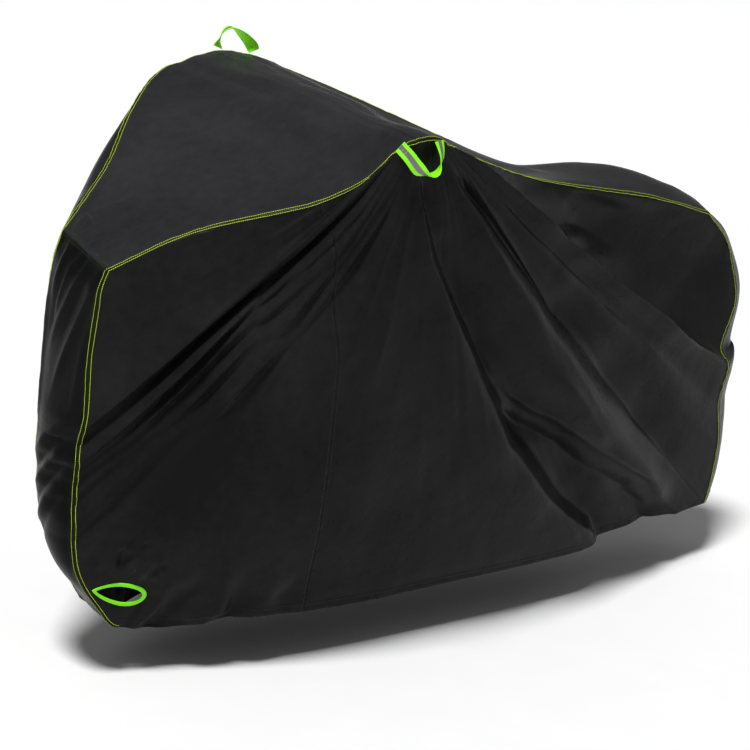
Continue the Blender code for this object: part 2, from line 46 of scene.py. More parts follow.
CLOTH = 0.0012                   # thickness of the cloth
SEAM_GAP = 0.0003                # between the two pieces of a side
FRONT_HEM_RIB = 8                # a side ends on its hem from this rib
BACK_HEM_RIB = 17                # to this one
INSIDE = np.array((0.10, 0.0, -0.50))   # a place that the strips face away from

FADE = 0.30                      # share of a fold's life over which it grows or dies away
CREASE_FADE = 0.25               # the same for creases
SPREAD = 0.065                   # distance between ribs from which their folds stand out in full
SPACING_REACH = 0.45             # ribs to each side over which that distance is taken
CREASE_SPREAD = 0.028            # the same for creases
CREASE_RADIUS = 0.0065           # no crease is sharper than this, in metres
OUT_REACH = 0.65                 # ribs to each side of a point that set the way its folds stand out
LEAST_SPACING = 0.004            # metres between ribs below which creases get no wider
WANDER = ((0.09, 0.13, 5), (0.03, 0.045, 6))    # how creases stray: ribs, metres between bends, seed
DENTS = ((0.0034, 0.21, 3), (0.0015, 0.085, 4), (0.0003, 0.034, 7))   # all over: metres high, metres apart, seed

# Detail of the grids
COLUMNS = {"left": 490, "right": 400}
ROWS = 140
STRIP_COLUMNS = 44
STRIP_STEP = 4                   # stations of a strip for each step of the ribs' table
SEAM_ROWS = (0.0, 0.0010, 0.0024, 0.0040, 0.0056, 0.0075, 0.0100, 0.0140)   # metres from a seam
FOOT_PITCH = 0.0085              # metres of a side's foot that weigh one in the spacing of its columns
TOP_PITCH = 0.016                # the same for its top
STEP_WEIGHT = 2.4                # what a step of the ribs' table weighs there

# Seams
STITCH_OFFSET = 0.0042           # from the seam to each line of topstitching
JOIN_OFFSET = 0.0045             # the same beside the upright join
CROSS_OFFSET = 0.0046            # the same beside the cross seam
HEM_OFFSET = 0.020               # from the hem to its stitches
ALLOWANCE = 0.0105               # width of a seam allowance
HEM_ALLOWANCE = 0.0215           # width of a strip's hem
WELT = 0.0007                    # how far the seam allowance lifts the cloth

# The tables of the part's source, with some folds and the crown of the back changed a little; millimetres, and
# z above the floor. The steps are grid steps to the next rib.
LEFT_RIBS = (
    # steps  top x  y    z     foot x  y    z   bow sag
    (2,  -544, 100,  824,  -544, 100,  824,   0,  0),   # front corner
    (3,  -410, 170,  904,  -559, 100,  772,   4,  0),   # brow
    (4,  -215, 285,  977,  -559,  90,  667,   8,  0),   # temple
    (6,  -150, 332, 1029,  -553,  85,  551,  10,  2),   # upper cheek
    (6,  -133, 366, 1076,  -559,  80,  484,   6,  4),   # front fold
    (5,  -127, 374, 1087,  -555,  75,  385,   6,  4),   # second fold
    (3,  -123, 379, 1092,  -534,  65,  251,  12,  4),   # lower cheek
    (2,  -115, 385, 1101,  -474,  60,  155,  16,  2),   # chin
    (2,  -110, 387, 1103,  -422,  60,  106,  20,  0),   # front hem
    (2,  -102, 388, 1105,  -334,  85,   98,  24,  0),   # hem gathers
    (2,   -97, 390, 1108,  -200, 135,  116,  22,  0),   # hem, front
    (2,   -88, 390, 1109,   -42, 155,  109,  20,  0),   # join
    (4,   -78, 390, 1110,   135, 160,  107,  20,  0),   # hem, middle
    (5,   -69, 390, 1110,   396, 160,  112,  20,  0),   # hem, behind middle
    (5,   -55, 388, 1108,   645, 150,  114,  18,  6),   # hem, rear
    (4,   -45, 386, 1106,   863, 120,  119,  14, 12),   # pouch
    (3,   -36, 384, 1103,  1073,  90,  137,  10, 16),   # hem tuck
    (3,   -27, 380, 1098,  1189,  75,  135,   8, 18),   # back hem
    (2,   -17, 378, 1093,  1209,  75,  265,   6, 16),   # back, low
    (5,    -9, 375, 1090,  1192,  77,  372,   4, 12),   # back, middle
    (5,     4, 370, 1084,  1190,  88,  463,   4,  8),   # main ridge
    (4,   133, 310, 1041,  1190,  72,  505,   0,  6),   # behind the ridge
    (2,   437, 170,  954,  1206,  75,  604,   0,  0),   # hump, front
    (2,   627, 155,  921,  1170,  75,  700,   0,  0),   # hump, middle
    (2,   802, 135,  890,  1130,  80,  760,   0,  0),   # hump, rear
    (0,  1030, 104,  832,  1030, 104,  832,   0,  0),   # back corner
)
RIGHT_RIBS = (
    # steps  top x  y    z     foot x  y    z   bow sag
    (2,  -507, 100,  847,  -507, 100,  847,   0,  0),   # front corner
    (3,  -375, 168,  942,  -525,  98,  790,  20, -6),   # brow
    (4,  -255, 268, 1027,  -535,  92,  680,  40, -8),   # temple
    (6,  -142, 360, 1070,  -538,  88,  565,  40, -4),   # upper cheek
    (6,   -87, 385, 1087,  -540,  85,  490,  28,  0),   # front fold
    (5,   -58, 387, 1092,  -538,  80,  390,  20,  2),   # second fold
    (3,   -30, 392, 1100,  -510,  72,  262,  16,  4),   # lower cheek
    (2,    10, 396, 1107,  -462,  65,  178,  16,  2),   # chin
    (2,    24, 398, 1109,  -414,  62,  116,  20,  0),   # front hem
    (2,    34, 399, 1111,  -330,  88,  100,  24,  0),   # hem gathers
    (2,    44, 400, 1111,  -200, 138,  114,  22,  0),   # hem, front
    (2,    54, 400, 1111,   -42, 160,  110,  20,  0),   # join
    (4,    64, 400, 1110,   140, 165,  108,  20,  0),   # hem, middle
    (5,    74, 400, 1110,   400, 165,  111,  20,  0),   # hem, behind middle
    (5,    86, 400, 1108,   650, 150,  115,  18,  6),   # hem, rear
    (4,    96, 398, 1106,   862, 122,  121,  14, 12),   # pouch
    (3,   106, 396, 1104,  1072,  92,  134,  10, 16),   # hem tuck
    (3,   116, 393, 1104,  1189,  75,  133,   8, 18),   # back hem
    (2,   126, 390, 1102,  1207,  75,  260,   6, 16),   # back, low
    (5,   136, 386, 1099,  1198,  77,  368,   4, 12),   # back, middle
    (5,   152, 378, 1093,  1192,  86,  470,   4,  8),   # main ridge
    (4,   262, 300, 1052,  1194,  72,  520,   0,  6),   # behind the ridge
    (2,   486, 178,  960,  1206,  75,  610,   0,  0),   # hump, front
    (2,   652, 150,  894,  1170,  75,  700,   0,  0),   # hump, middle
    (2,   816, 137,  890,  1130,  80,  760,   0,  0),   # hump, rear
    (0,  1030, 104,  832,  1030, 104,  832,   0,  0),   # back corner
)
LAST = len(LEFT_RIBS) - 1

# Folds: out mm, head rib, foot rib, from, to, front reach, back reach
LEFT_FOLDS = (
    ( 10,  3.30,  3.30,  0.00, 1.20, 0.50, 0.35),   # cheek ridge
    (-24,  4.00,  3.95,  0.20, 0.90, 0.30, 0.26),   # front valley
    ( 10,  4.50,  4.40,  0.00, 1.15, 0.18, 0.20),   # front ridge
    (-10,  4.90,  4.72,  0.10, 1.25, 0.20, 0.20),   # second valley
    (-10,  5.50,  5.10,  0.15, 1.20, 0.20, 0.24),   # third valley
    (-12,  6.05,  5.75,  0.25, 1.10, 0.30, 0.40),   # fourth valley
    ( -7,  9.00,  8.80,  0.00, 0.45, 0.60, 0.60),   # shoulder dart
    ( 16,  9.50,  9.50,  0.20, 1.00, 2.50, 2.50),   # front swell
    ( 10, 11.90, 14.40,  0.05, 1.10, 0.80, 0.35),   # pouch edge
    (-30, 12.90, 15.10,  0.10, 1.05, 0.60, 0.70),   # pouch
    ( 18, 13.60, 16.20,  0.35, 1.00, 0.45, 0.50),   # lip
    ( 18, 14.60, 16.20,  0.00, 0.85, 0.60, 0.75),   # long ridge
    (-18, 16.90, 17.70,  0.00, 1.00, 0.85, 1.10),   # long valley
    ( 10, 17.90, 18.60,  0.15, 1.00, 0.80, 0.60),   # back swell
    ( 14, 19.90, 19.90,  0.00, 1.02, 0.60, 0.20),   # main ridge
    (-60, 20.50, 20.65,  0.00, 1.10, 0.34, 2.00),   # recess
)
RIGHT_FOLDS = (
    (  8,  3.10,  3.20,  0.00, 1.20, 0.50, 0.35),   # cheek ridge
    (-20,  3.90,  3.85,  0.00, 1.14, 0.32, 0.30),   # front valley
    (  8,  4.60,  4.45,  0.00, 1.15, 0.22, 0.22),   # front ridge
    (-12,  5.10,  4.90,  0.10, 1.25, 0.24, 0.26),   # second valley
    (-10,  6.20,  6.00,  0.20, 1.10, 0.35, 0.40),   # third valley
    ( 18, 10.00,  9.20,  0.20, 1.00, 2.40, 2.40),   # front swell
    (-12, 11.60, 12.40,  0.00, 0.80, 0.50, 0.60),   # middle dart
    ( 10, 12.60, 14.60,  0.05, 1.10, 0.80, 0.40),   # pouch edge
    (-26, 13.60, 15.20,  0.10, 1.05, 0.60, 0.75),   # pouch
    ( 18, 15.10, 16.50,  0.00, 0.95, 0.60, 0.70),   # long ridge
    (-20, 16.70, 17.60,  0.00, 1.00, 0.65, 0.80),   # long valley
    ( 12, 18.20, 18.70,  0.15, 1.00, 0.80, 0.60),   # back swell
    ( 13, 19.90, 19.90,  0.00, 1.15, 0.60, 0.20),   # main ridge
    (-40, 20.55, 20.70,  0.02, 1.10, 0.38, 2.00),   # recess
)
TOP_CROWN = (
    # station crown
    (0.0, 0), (1.0, 6), (3.0, 2), (5.0, 0), (20.0, -2), (21.0, -20), (21.7, -12), (22.0, -2), (22.5, 5),
    (23.0, 22), (23.5, 38), (24.0, 44), (24.5, 34), (25.0, 22), (26.0, 38), (27.0, 47), (28.0, 62),
    (29.0, 78), (30.0, 84), (31.0, 77), (32.0, 72), (33.0, 58),
)
FRONT_CROWN = ((0.0, 0), (1.0, 10), (3.0, 20), (5.0, 22), (6.0, 17), (7.0, 8), (8.0, 4))

# Creases that are too fine for the solids: out mm, crest as (rib, share) places, reach in ribs of the front
# and the back flank, and how sharp the crest is
LEFT_CREASES = (
    ( 3.0, ((2.20, .03), (1.95, .30), (1.60, .70)), .26, .16, 1.3),
    (-2.5, ((2.75, .02), (2.50, .40), (2.20, .80)), .16, .22, 1.4),
    ( 9.0, ((4.40, .01), (4.45, .14), (4.20, .22), (3.85, .32), (3.50, .50), (3.34, .95)), .40, .14, 1.2),
    (-20., ((5.20, .00), (5.30, .13), (5.05, .22), (4.75, .32), (4.35, .45), (4.10, .65)), .45, .40, 1.8),
    (-12., ((5.20, .01), (5.30, .13), (5.05, .22), (4.75, .32), (4.30, .45), (4.05, .65), (3.94, .98)), .16, .14, 1.2),
    ( 9.0, ((6.20, .03), (6.15, .14), (5.75, .22), (5.25, .32), (4.80, .45), (4.50, .65), (4.30, .98)), .11, .10, 1.2),
    (-9.0, ((6.90, .04), (6.70, .14), (6.20, .22), (5.60, .32), (5.05, .45), (4.72, .65), (4.46, .98)), .07, .08, 1.2),
    ( 6.0, ((7.50, .05), (7.15, .14), (6.60, .22), (5.95, .32), (5.35, .45), (4.95, .65), (4.64, .98)), .08, .08, 1.2),
    (-7.0, ((8.00, .06), (7.60, .14), (7.00, .22), (6.30, .32), (5.60, .45), (5.15, .65), (4.80, .98)), .07, .09, 1.2),
    ( 6.0, ((8.40, .07), (8.00, .15), (7.40, .23), (6.65, .33), (5.90, .46), (5.38, .65), (4.97, .98)), .08, .09, 1.2),
    (-6.5, ((8.90, .08), (8.40, .16), (7.80, .24), (7.05, .34), (6.20, .47), (5.60, .65), (5.12, .98)), .08, .10, 1.2),
    ( 5.5, ((9.40, .09), (8.90, .17), (8.20, .26), (7.40, .36), (6.55, .48), (5.90, .65), (5.32, .98)), .12, .12, 1.3),
    (-6.5, ((9.80, .10), (9.20, .19), (8.50, .29), (7.70, .39), (6.90, .50), (6.20, .65), (5.60, .98)), .14, .18, 1.3),
    ( 5.5, ((6.95, .06), (6.62, .35), (6.30, .70)), .20, .20, 1.3),
    (-3.0, ((7.60, .05), (7.20, .35), (6.80, .70)), .22, .25, 1.4),
    ( 2.5, ((8.30, .04), (7.90, .30), (7.50, .60)), .26, .25, 1.3),
    (-4.5, ((10.0, .04), (9.60, .12), (8.86, .30)), .22, .30, 1.3),
    ( 3.0, ((10.6, .03), (10.3, .20), (9.80, .50)), .30, .20, 1.3),
    ( 2.5, ((11.2, .04), (11.1, .25), (10.9, .60)), .22, .18, 1.3),
    ( 9.0, ((11.3, .08), (12.3, .21), (12.8, .30), (13.1, .40), (13.4, .48), (13.6, .57), (13.7, .66),
            (13.9, .74), (14.1, .83), (14.4, .90), (14.7, 1.0)), .34, .11, 1.1),
    (-21., ((11.8, .08), (12.8, .21), (13.2, .30), (13.5, .40), (13.8, .50), (14.0, .60), (14.2, .70),
            (14.4, .80), (14.8, .95)), .20, .45, 1.6),
    ( 15., ((13.8, .45), (13.9, .51), (14.1, .57), (14.7, .63), (15.1, .68), (15.4, .75), (15.7, .83),
            (15.9, .89), (16.0, 1.0)), .09, .42, 1.1),
    (-17., ((13.7, .58), (14.3, .66), (14.8, .72), (15.1, .79), (15.4, .87), (15.6, .95)), .35, .12, 1.3),
    (11.0, ((13.8, .03), (14.8, .17), (15.2, .28), (15.5, .42), (15.7, .58), (15.8, .74)), .50, .70, 1.7),
    ( 4.0, ((15.2, .52), (15.4, .62), (15.5, .75)), .14, .12, 1.2),
    (-18., ((15.6, .06), (16.5, .26), (17.0, .45), (17.2, .65), (17.4, .90)), .65, .90, 2.0),
    (-3.0, ((17.4, .04), (17.9, .35), (18.1, .80)), .20, .18, 1.3),
    ( 3.5, ((18.4, .03), (18.7, .40), (18.9, .90)), .20, .13, 1.2),
    (-4.0, ((19.2, .02), (19.2, .50), (19.2, .95)), .50, .40, 1.8),
    ( 20., ((20.0, .00), (20.0, .50), (19.9, .90)), .34, .10, 1.2),
    (-20., ((20.3, .00), (20.4, .50), (20.4, .85)), .10, .60, 1.3),
    ( 9.0, ((22.5, .01), (22.0, .13), (21.6, .27), (21.4, .42)), .60, .14, 1.4),
    ( 3.0, ((21.2, .06), (21.4, .30), (21.6, .60)), .20, .30, 1.3),
)
RIGHT_CREASES = (
    ( 2.5, ((2.40, .05), (2.00, .80)), .22, .16, 1.4),
    ( 4.0, ((3.50, .00), (3.50, .98)), .30, .14, 1.2),
    (-4.0, ((3.95, .02), (3.90, .98)), .14, .14, 1.2),
    ( 3.5, ((4.55, .03), (4.45, .95)), .12, .10, 1.2),
    (-3.5, ((5.40, .08), (5.10, .90)), .12, .12, 1.2),
    ( 3.0, ((6.80, .10), (6.30, .80)), .18, .20, 1.3),
    (-3.0, ((7.80, .10), (7.20, .70)), .25, .25, 1.4),
    ( 2.5, ((9.20, .04), (8.80, .50)), .22, .30, 1.3),
    (-3.5, ((11.3, .05), (12.1, .70)), .16, .18, 1.2),
    ( 5.0, ((12.0, .08), (13.4, .40), (14.6, .98)), .30, .12, 1.1),
    (-3.5, ((13.0, .10), (14.2, .40), (15.2, .80)), .12, .18, 1.2),
    ( 5.0, ((14.6, .03), (15.8, .36), (16.5, .90)), .16, .14, 1.1),
    ( 2.5, ((16.1, .08), (17.0, .85)), .18, .14, 1.3),
    (-3.0, ((17.6, .04), (18.2, .80)), .20, .18, 1.3),
    ( 3.0, ((18.7, .03), (19.1, .92)), .18, .14, 1.3),
    ( 11., ((20.0, .00), (19.9, 1.0)), .34, .08, 1.1),
    (-13., ((20.4, .01), (20.5, .98)), .10, .55, 1.3),
    ( 3.0, ((21.4, .06), (21.6, .60)), .20, .30, 1.3),
)

# Creases of the top and the front strip: out mm, across and along at both ends, reach mm, sharpness
TOP_CREASES = (
    ( 6.0, .96, .004, .55, .150,  9.0, 1.3),
    ( 5.0, .90, .003, .72, .070,  7.0, 1.3),
    ( 5.0, .70, .003, .62, .060,  7.0, 1.3),
    ( 5.0, .50, .003, .44, .050,  7.0, 1.3),
    ( 5.5, .22, .003, .30, .055,  8.0, 1.3),
    ( 4.5, .10, .004, .20, .080,  8.0, 1.3),
    ( 3.0, .97, .020, .30, .230, 14.0, 1.5),
    ( 5.0, .10, .120, .62, .420, 38.0, 1.8),
    (-5.0, .82, .180, .35, .480, 34.0, 1.8),
    ( 4.0, .88, .360, .40, .560, 30.0, 1.7),
    (-4.0, .30, .330, .10, .520, 26.0, 1.7),
    ( 4.0, .03, .500, .50, .560, 22.0, 1.6),
    ( 4.0, .50, .560, .97, .520, 22.0, 1.6),
    (-4.0, .10, .620, .85, .620, 16.0, 1.6),
    ( 4.0, .08, .660, .50, .800, 16.0, 1.5),
    ( 4.0, .92, .660, .50, .820, 16.0, 1.5),
    (-4.0, .20, .720, .30, .980, 16.0, 1.5),
    ( 3.0, .75, .860, .55, 1.080, 14.0, 1.5),
    ( 3.0, .15, 1.000, .60, 1.250, 16.0, 1.5),
    (-3.0, .85, 1.050, .45, 1.300, 16.0, 1.5),
    ( 3.0, .10, 1.480, .55, 1.700, 16.0, 1.5),
    ( 3.0, .92, 1.520, .50, 1.720, 16.0, 1.5),
)
FRONT_CREASES = (
    ( 6.0, .04, .006, .60, .300, 10.0, 1.3),
    ( 5.0, .28, .004, .75, .210,  8.0, 1.3),
    ( 5.0, .50, .004, .72, .150,  8.0, 1.3),
    ( 4.0, .72, .004, .84, .120,  7.0, 1.3),
    ( 5.0, .97, .006, .86, .420,  9.0, 1.3),
    (-4.0, .16, .004, .50, .180,  8.0, 1.4),
    (-4.0, .62, .004, .80, .200,  8.0, 1.4),
    ( 3.0, .06, .080, .20, .330,  7.0, 1.4),
    ( 5.0, .02, .270, .97, .420, 12.0, 1.5),
    (-6.0, .02, .305, .97, .455, 10.0, 1.4),
    ( 5.0, .02, .335, .97, .490, 10.0, 1.4),
    (-6.0, .02, .365, .97, .525, 10.0, 1.4),
    ( 4.0, .02, .395, .97, .560, 10.0, 1.4),
    (-5.0, .02, .425, .97, .595, 10.0, 1.4),
    ( 3.0, .10, .450, .95, .560, 12.0, 1.5),
)

# Above and around the slit: middle (x, out, height above the floor) and reach
CRUMPLES = (-0.430, 0.085, 0.240), (0.075, 0.10, 0.055)
SLIT = (-0.435, 0.085, 0.184), (0.078, 0.30, 0.040)

# The upright join of a side: x and height above the floor of its ends
JOIN_TOP = (-0.225, 0.985)
JOIN_FOOT = (-0.048, 0.115)

# The slits
EYELET = (0.112, 0.054)          # length and height over the binding
EYELET_MIDDLE = {"left": (-0.441, 0.184), "right": (-0.410, 0.190)}   # x and height above the floor
EYELET_LEAN = 6.0                # degrees that its round end is tipped down
EYELET_STEPS = 112
EYELET_REACH = 0.03              # how far from its plane the cloth is looked for and cut
EYELET_CUT = 0.0040              # from the outline to the cut in the cloth
EYELET_SEWN = (0.0044, 0.0011)   # from the outline to its stitches, and their lift
# Cross-section of the binding: inset from the outline and lift from the cloth, in mm
BINDING = ((0.0, 0.6), (0.5, 1.25), (2.6, 1.65), (4.4, 1.35), (6.2, 1.65), (8.4, 1.25), (9.0, 0.6),
           (9.0, -0.6), (8.4, -1.25), (6.2, -1.6), (4.4, -1.4), (2.6, -1.6), (0.5, -1.25), (0.0, -0.6))

# The loops
LEFT_LOOP = (
    # x    out  height   width x  out   up
    (-139, 386, 1096,    0.80,  0.00,  0.60),
    (-124, 397, 1079,    0.75,  0.06,  0.66),
    (-109, 402, 1062,    0.70,  0.25,  0.60),
    ( -95, 405, 1050,    0.45,  0.75,  0.35),
    ( -79, 406, 1044,    0.05,  1.00,  0.05),
    ( -64, 406, 1048,   -0.30,  0.95, -0.05),
    ( -54, 404, 1060,   -0.60,  0.78,  0.00),
    ( -50, 402, 1076,   -0.80,  0.55,  0.12),
    ( -50, 397, 1091,   -0.90,  0.25,  0.25),
    ( -52, 392, 1104,   -0.94,  0.02,  0.30),
)
RIGHT_LOOP = (
    # x    out  height   width x  out   up
    (  46, 403, 1118,   -1.00, -0.10,  0.00),
    (  51, 406, 1131,   -0.75, -0.66,  0.00),
    (  58, 408, 1144,   -0.64, -0.77,  0.00),
    (  69, 408, 1154,   -0.45, -0.90,  0.00),
    (  83, 408, 1157,   -0.15, -1.00,  0.00),
    (  99, 408, 1150,    0.25, -0.97,  0.00),
    ( 114, 408, 1139,    0.60, -0.80,  0.00),
    ( 128, 407, 1127,    0.74, -0.67,  0.00),
    ( 137, 405, 1116,    0.85, -0.50,  0.00),
    ( 140, 403, 1108,    1.00, -0.10,  0.10),
)
WEBBING = (0.025, 0.0019)        # width and thickness of the webbing
# Cross-section of the webbing: across and through, from -1 to 1, and where the face up to the next corner can
# carry the stripe: 1 on the outer side, 2 on the inner
BAND = ((-1.0, -0.45, 0), (-0.94, -1.0, 0), (-0.40, -1.0, 2), (0.40, -1.0, 0), (0.94, -1.0, 0), (1.0, -0.45, 0),
        (1.0, 0.45, 0), (0.94, 1.0, 0), (0.40, 1.0, 1), (-0.40, 1.0, 0), (-0.94, 1.0, 0), (-1.0, 0.45, 0))


# ---------------------------------------------------------------- numbers

def smooth_through(values, at):
    """A smooth curve through the values at 0, 1, 2 and so on, which doesn't overshoot them."""
    values = np.asarray(values, float)
    rise = np.diff(values)
    before, after = rise[:-1], rise[1:]
    slope = np.concatenate((rise[:1], np.zeros(len(values) - 2), rise[-1:]))
    same_way = before * after > 0.0
    total = np.where(same_way, before + after, 1.0)
    slope[1:-1] = np.where(same_way, 2.0 * before * after / total, 0.0)
    start = np.clip(at.astype(int), 0, len(values) - 2)
    t = at - start
    return ((2 * t**3 - 3 * t**2 + 1) * values[start] + (t**3 - 2 * t**2 + t) * slope[start]
            + (3 * t**2 - 2 * t**3) * values[start + 1] + (t**3 - t**2) * slope[start + 1])


def ease(t):
    t = np.clip(t, 0.0, 1.0)
    return t * t * (3.0 - 2.0 * t)


def unit(vectors):
    length = np.linalg.norm(vectors, axis=-1, keepdims=True)
    return vectors / np.maximum(length, 1e-12)


def sums(values):
    """Running sums, from zero."""
    return np.concatenate(([0.0], np.cumsum(values)))


def gaps(line):
    """Metres between the neighbours of a line of points."""
    return np.linalg.norm(np.diff(line, axis=0), axis=-1)


def sample(at, along, line):
    """Places on a line of points, by how far along it they lie."""
    return np.stack([np.interp(at, along, values) for values in line.T], -1)


def hashed(ix, iy, iz, seed):
    """A repeatable number from -1 to 1 for each lattice point."""
    h = (ix * 374761393 + iy * 668265263 + iz * 2147483647 + seed * 1274126177) & 0xFFFFFFFF
    h = ((h ^ (h >> 13)) * 1103515245) & 0xFFFFFFFF
    h = ((h ^ (h >> 16)) * 2246822519) & 0xFFFFFFFF
    return ((h ^ (h >> 15)) & 0xFFFF) / 32767.5 - 1.0


def noise(p, scale, seed):
    """Smooth noise of a field of points, from -1 to 1, with bumps about scale apart."""
    q = np.asarray(p, float) / scale + 1000.0
    i = np.floor(q).astype(np.int64)
    f = q - i
    f = f * f * f * (f * (6.0 * f - 15.0) + 10.0)
    corners = ((i, 1.0 - f), (i + 1, f))
    total = 0.0
    for ix, wx in corners:
        for iy, wy in corners:
            for iz, wz in corners:
                weight = wx[..., 0] * wy[..., 1] * wz[..., 2]
                total = total + weight * hashed(ix[..., 0], iy[..., 1], iz[..., 2], seed)
    return total


def welt(distance, width=ALLOWANCE):
    """The lift over a seam allowance or a hem, at a distance from its edge."""
    return WELT * ease((width - distance) / 0.002) * ease(distance / 0.0015)


def puckers(base, distance, height, reach, seed, fine_seed):
    """Short puckers beside a seam."""
    wave = noise(base, 0.017, seed) + 0.6 * noise(base, 0.009, fine_seed)
    return height * wave * np.exp(-(distance / reach) ** 2) * ease(distance / 0.003)


# ---------------------------------------------------------------- the sides

class Side:
    """One side of the cover as a function of (rib, share): its rib, and the share of it from the top seam down."""

    def __init__(self, way, ribs, folds, creases, seed, calm, drop):
        self.way, self.folds, self.creases = way, folds, creases
        self.seed = seed
        self.calm = calm        # how much folds die away low on the front
        self.drop = drop        # how far the hem hangs down there
        self.columns = [[row[k] * MM for row in ribs] for k in range(1, 9)]
        self.count = np.array([row[0] for row in ribs[:-1]], float)
        self.steps = sums(self.count)

    def step_of(self, rib):
        return np.interp(rib, np.arange(len(self.steps)), self.steps)

    def rib_of(self, step):
        return np.interp(step, self.steps, np.arange(len(self.steps)))

    def base(self, rib, share):
        """The side without its folds."""
        c = [smooth_through(column, rib) for column in self.columns]
        top = np.stack((c[0], self.way * c[1], c[2] - RIDGE_HEIGHT), -1)
        foot = np.stack((c[3], self.way * c[4], c[5] - RIDGE_HEIGHT), -1)
        arch = (4.0 * share * (1.0 - share))[..., None]
        bow = np.stack((0.0 * rib, self.way * c[6], -c[7]), -1)
        return top + (foot - top) * share[..., None] + arch * bow

    def length(self, rib):
        """Metres from a rib's top straight to its foot."""
        ends = [self.base(rib, np.full(rib.shape, s)) for s in (0.0, 1.0)]
        return np.linalg.norm(ends[1] - ends[0], axis=-1)

    def normal(self, rib, share):
        """The way out, taken across a stretch of ribs so that deep folds don't close on themselves."""
        rib = np.clip(rib, 0.1, LAST - 0.1)
        e = 0.02
        s = np.clip(share, e, 1.0 - e)
        across = self.base(np.minimum(rib + OUT_REACH, LAST), s) - self.base(np.maximum(rib - OUT_REACH, 0.0), s)
        along = self.base(rib, s + e) - self.base(rib, s - e)
        return unit(np.cross(across, along)) * self.way

    def spacing(self, rib, share):
        """Metres between a point and the same share of the next rib."""
        low, high = np.maximum(rib - SPACING_REACH, 0.0), np.minimum(rib + SPACING_REACH, LAST)
        return np.linalg.norm(self.base(high, share) - self.base(low, share), axis=-1) / (high - low)

    def fold_relief(self, rib, share):
        total = np.zeros(np.broadcast(rib, share).shape)
        for out, head, foot, start, end, front, back in self.folds:
            away = rib - (head + (foot - head) * share)
            reach = np.where(away < 0.0, front, back)
            fade = FADE * (end - start)
            life = ease((share - start) / fade) * ease((end - share) / fade)
            total += out * MM * life * np.exp(-(away / reach) ** 2)
        return total

    def crease_relief(self, rib, share, base, widest):
        wander = sum(ribs * noise(base, size, self.seed + seed) for ribs, size, seed in WANDER)
        total = np.zeros(np.broadcast(rib, share).shape)
        for out, crest, front, back, sharp in self.creases:
            crest = np.array(crest)
            away = rib - np.interp(share, crest[:, 1], crest[:, 0]) + wander
            reach = np.hypot(np.where(away < 0.0, front, back), widest)
            start, end = crest[0, 1], crest[-1, 1]
            fade = CREASE_FADE * (end - start)
            end = end + 2.0 * fade if end > 0.9 else end     # runs on over the seam
            life = ease((share - start) / min(fade, 0.08) + 0.2) * ease((end - share) / fade)
            strength = 0.85 + 0.40 * noise(base + len(crest) * 0.37 + crest[0, 0], 0.14, self.seed + 9)
            total += out * MM * life * strength * np.exp(-np.abs(away / reach) ** sharp)
        return total

    def soft_relief(self, rib, share, base):
        """Ripples that run down the fan, strongest under the shoulder, and dents all over."""
        place = np.stack((self.step_of(rib) * 0.55, share * 1.4, 0.0 * rib), -1)
        near = np.exp(-share / 0.35) * ease(share / 0.06)
        fan = ease((rib - 2.5) / 2.0) * ease((21.5 - rib) / 1.5)
        soft = 0.0008 * near * fan * noise(place * 0.9, 0.5, self.seed + 1)
        soft += 0.0005 * fan * noise(place * 1.9, 0.5, self.seed + 2) * ease(share / 0.08)
        inner = ease(share / 0.08) * ease((1.0 - share) / 0.05)
        for height, size, seed in DENTS:
            soft += height * noise(base, size, self.seed + seed) * inner
        return soft

    def relief(self, rib, share):
        """Folds, creases, ripples and dents, in metres outwards."""
        base = self.base(rib, share)
        spacing = self.spacing(rib, share)
        folds = self.fold_relief(rib, share) * np.minimum(spacing / SPREAD, 1.0)
        creases = self.crease_relief(rib, share, base, CREASE_RADIUS / np.maximum(spacing, LEAST_SPACING))
        calm = 1.0 - self.calm * ease((8.5 - rib) / 1.0) * ease((share - 0.55) / 0.45)
        total = (folds + creases * np.minimum(spacing / CREASE_SPREAD, 1.0)) * calm
        return (total + self.soft_relief(rib, share, base)) * (ease(rib) * ease(LAST - rib))

    def seam_relief(self, rib, share):
        """The lift of the seam allowance and the puckers beside the seams."""
        length = np.maximum(self.length(rib), 1e-4)
        base = self.base(rib, share)
        total = 0.0
        for distance, seed in ((share * length, 11), ((1.0 - share) * length, 12)):
            seed += self.seed
            total = total + welt(distance) + puckers(base, distance, 0.0012, 0.016, seed, seed + 7)
        return total * ease(rib / 0.3) * ease((LAST - rib) / 0.3)

    def closeness(self, base, middle, reach, power):
        """From 1 at a place to 0 well beyond its reach."""
        place = np.array((middle[0], self.way * middle[1], middle[2] - RIDGE_HEIGHT))
        return np.exp(-np.linalg.norm((base - place) / np.array(reach), axis=-1) ** power)

    def local_relief(self, base, rib, share):
        """Crumples over the slit and gathers at the front of the hem."""
        near = self.closeness(base, *CRUMPLES, 2) * (1.0 - self.closeness(base, *SLIT, 4))
        crumple = np.abs(noise(base * np.array((1.0, 1.0, 1.4)), 0.030, self.seed + 21))
        total = near * (0.0170 * (0.42 - crumple) + 0.0060 * noise(base, 0.016, self.seed + 22))
        along = ease((rib - 8.0) / 0.8) * ease((11.0 - rib) / 1.0)
        low = ease((share - 0.84) / 0.14)
        wave = np.sin(self.step_of(rib) * 3.4 + 2.0 * noise(base, 0.06, self.seed + 23) + 6.0 * share)
        total = total + 0.0090 * along * low * wave * ease((1.01 - share) / 0.02 + 0.3)
        return total * ease((1.0 - share) / 0.01 + 0.5)

    def points(self, rib, share):
        base = self.base(rib, share)
        out = self.relief(rib, share) + self.seam_relief(rib, share) + self.local_relief(base, rib, share)
        points = base + self.normal(rib, share) * out[..., None]
        hang = ease((rib - 8.3) / 1.0) * ease((12.0 - rib) / 1.5) * ease((share - 0.72) / 0.28)
        points[..., 2] -= self.drop * hang
        return points

